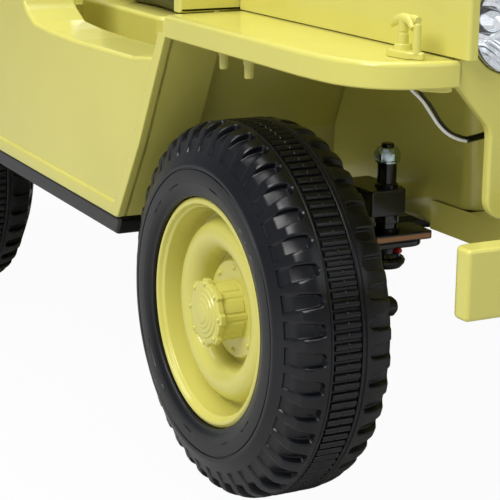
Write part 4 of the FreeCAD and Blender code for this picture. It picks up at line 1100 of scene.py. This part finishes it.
seatSpec = {"voxel": 5, "frames": 20, "pressure": 4, "stiffness": 18, "cap": 12, "shrink": 3.5,
            "channel": 3.2, "channelHalf": 2.6, "panels": 4, "crown": 3.2, "inner": 12, "outer": 217}


def padMesh(low, high, upright, spec):
    # a cushion between two corners; it is drawn smaller, then swells to fill its box
    shrink = spec["shrink"]
    return brick([a + shrink for a in low], [b - shrink for b in high], 7, 12, "YZ" if upright else "XY")


def swell(mesh, low, high, spec):
    made = linked("padDraft", mesh)
    remesh = made.modifiers.new("remesh", "REMESH")
    remesh.mode, remesh.voxel_size = "VOXEL", spec["voxel"] * mm
    even = evaluated(made)
    made.modifiers.remove(remesh)
    made.data = even
    cloth = made.modifiers.new("cloth", "CLOTH")
    settings, stiffness = cloth.settings, spec["stiffness"]
    settings.use_pressure, settings.uniform_pressure_force = True, spec["pressure"]
    settings.effector_weights.gravity = 0
    settings.quality, settings.tension_stiffness, settings.compression_stiffness = 6, stiffness, stiffness
    scene = bpy.context.scene
    for number in range(1, spec["frames"] + 1):
        scene.frame_set(number)
    shape = evaluated(made)
    made.modifiers.remove(cloth)
    for start, end in zip(even.vertices, shape.vertices):
        move = end.co - start.co
        if move.length > spec["cap"] * mm:
            move *= spec["cap"] * mm / move.length
        start.co += move
    bpy.data.meshes.remove(shape)
    scene.frame_set(1)
    for vertex in even.vertices:  # kept inside the solid's own box
        vertex.co = Vector(min(max(value, a * mm), b * mm) for value, a, b in zip(vertex.co, low, high))
    bpy.data.objects.remove(made)
    return even


def sewChannels(mesh, low, high, upright, spec):
    # crowned top with three sewn channels between its panels
    faceAxis, runAxis = (0, 2) if upright else (2, 0)
    panels = spec["panels"]
    for vertex in mesh.vertices:
        place = [(vertex.co[k] / mm - low[k]) / (high[k] - low[k]) for k in range(3)]
        if place[faceAxis] < 0.55:
            continue
        inside = min(place[1], 1 - place[1], place[runAxis], 1 - place[runAxis])
        run = place[1] * panels
        toSeam = abs(run - round(run)) * (high[1] - low[1]) / panels
        onRun = 0 < round(run) < panels and 0.1 < place[runAxis] < 0.93
        dip = math.exp(-(toSeam / spec["channelHalf"]) ** 2) * spec["channel"] if onRun else 0
        crown = spec["crown"] * (1 - min(inside / 0.3, 1)) ** 2
        vertex.co[faceAxis] -= (dip + crown) * mm


def makeSeats(spec):
    inner, outer = spec["inner"], spec["outer"]
    for node, upright in (("seat_cushions", False), ("seat_backs", True)):
        for word, start, end in (("right", -outer, -inner), ("left", inner, outer)):
            low, high = corners(node)
            low[1], high[1] = start, end
            mesh = swell(padMesh(low, high, upright, spec), low, high, spec)
            sewChannels(mesh, low, high, upright, spec)
            made = Piece(f"{node[:-1]}_{word}").add(mesh, seatVinyl).done(node, slot="seat_vinyl", sharp=180)
            finer = made.modifiers.new("finer", "SUBSURF")
            finer.levels = finer.render_levels = 1


makeSeats(seatSpec)
print("cabin made")


# the CAD nodes that stay take a finished material

finishes = {"tie_rod": blackSteel, "rear_axle": blackSteel, "steering_column": blackPlastic,
            "spare_carrier": blackPlastic, "windscreen_pane": paneGlass, "floor_pan": khaki, "rear_tub": khaki}
for name, node in nodes.items():
    for start, material in finishes.items():
        if name.startswith(start):
            for holder in node.material_slots:
                holder.material = material
print("frame nodes finished")


# floor, world and lamps

lampRig = [("key", (1.2, -2.5, 2.5), 1.6, 78, (1.0, 0.985, 0.96)), ("top", (0.2, -0.3, 3.1), 2.4, 56, (1, 1, 1)),
           ("front", (3.0, 0.9, 1.5), 1.7, 13, (0.97, 0.985, 1.0)), ("back", (-2.4, 1.4, 2.2), 2.0, 24, (1, 1, 1))]


def showWhite(tree, plain, kind, output, share):
    # white where a camera or transmission ray lands, and the plain surface for every other ray
    seen, part = (tree.nodes.new("ShaderNodeMath") for _ in range(2))
    path, white, mix = (tree.nodes.new(word) for word in ("ShaderNodeLightPath", kind, "ShaderNodeMixShader"))
    seen.operation, part.operation = "MAXIMUM", "MULTIPLY"
    part.inputs[1].default_value = share
    white.inputs["Color"].default_value = (1, 1, 1, 1)
    join(tree, (path, "Is Camera Ray", seen, 0), (path, "Is Transmission Ray", seen, 1), (seen, 0, part, 0),
         (part, 0, mix, 0), (plain, 0, mix, 1), (white, 0, mix, 2), (mix, 0, tree.nodes[output], "Surface"))


def makeStage():
    mesh = bpy.data.meshes.new("floor")
    reach, depth = 14, -0.0005
    mesh.from_pydata([(x, y, depth) for x, y in rectangle(-reach, -reach, reach, reach)], [], [(0, 1, 2, 3)])
    floor = linked("floor", mesh)
    paper = bpy.data.materials.new("paper_floor")
    paper.use_nodes = True
    surface = paper.node_tree.nodes["Principled BSDF"]
    surface.inputs["Base Color"].default_value = (0.55, 0.55, 0.55, 1)
    surface.inputs["Roughness"].default_value = 0.8
    showWhite(paper.node_tree, surface, "ShaderNodeEmission", "Material Output", 0.96)
    mesh.materials.append(paper)

    world = bpy.context.scene.world = bpy.data.worlds.new("studio")
    world.use_nodes = True
    soft = world.node_tree.nodes["Background"]
    soft.inputs["Color"].default_value, soft.inputs["Strength"].default_value = (0.93, 0.96, 1, 1), 0.3
    showWhite(world.node_tree, soft, "ShaderNodeBackground", "World Output", 1)

    aim = Vector((0.2, -0.1, 0.25))
    for name, place, size, power, colour in lampRig:
        data = bpy.data.lights.new(name, "AREA")
        data.size, data.energy, data.color = size, power, colour
        lamp = linked(name, data)
        lamp.location = place
        lamp.rotation_euler = (aim - Vector(place)).to_track_quat("-Z", "Y").to_euler()


makeStage()
bpy.context.scene.view_settings.view_transform = "Standard"
print("stage made")
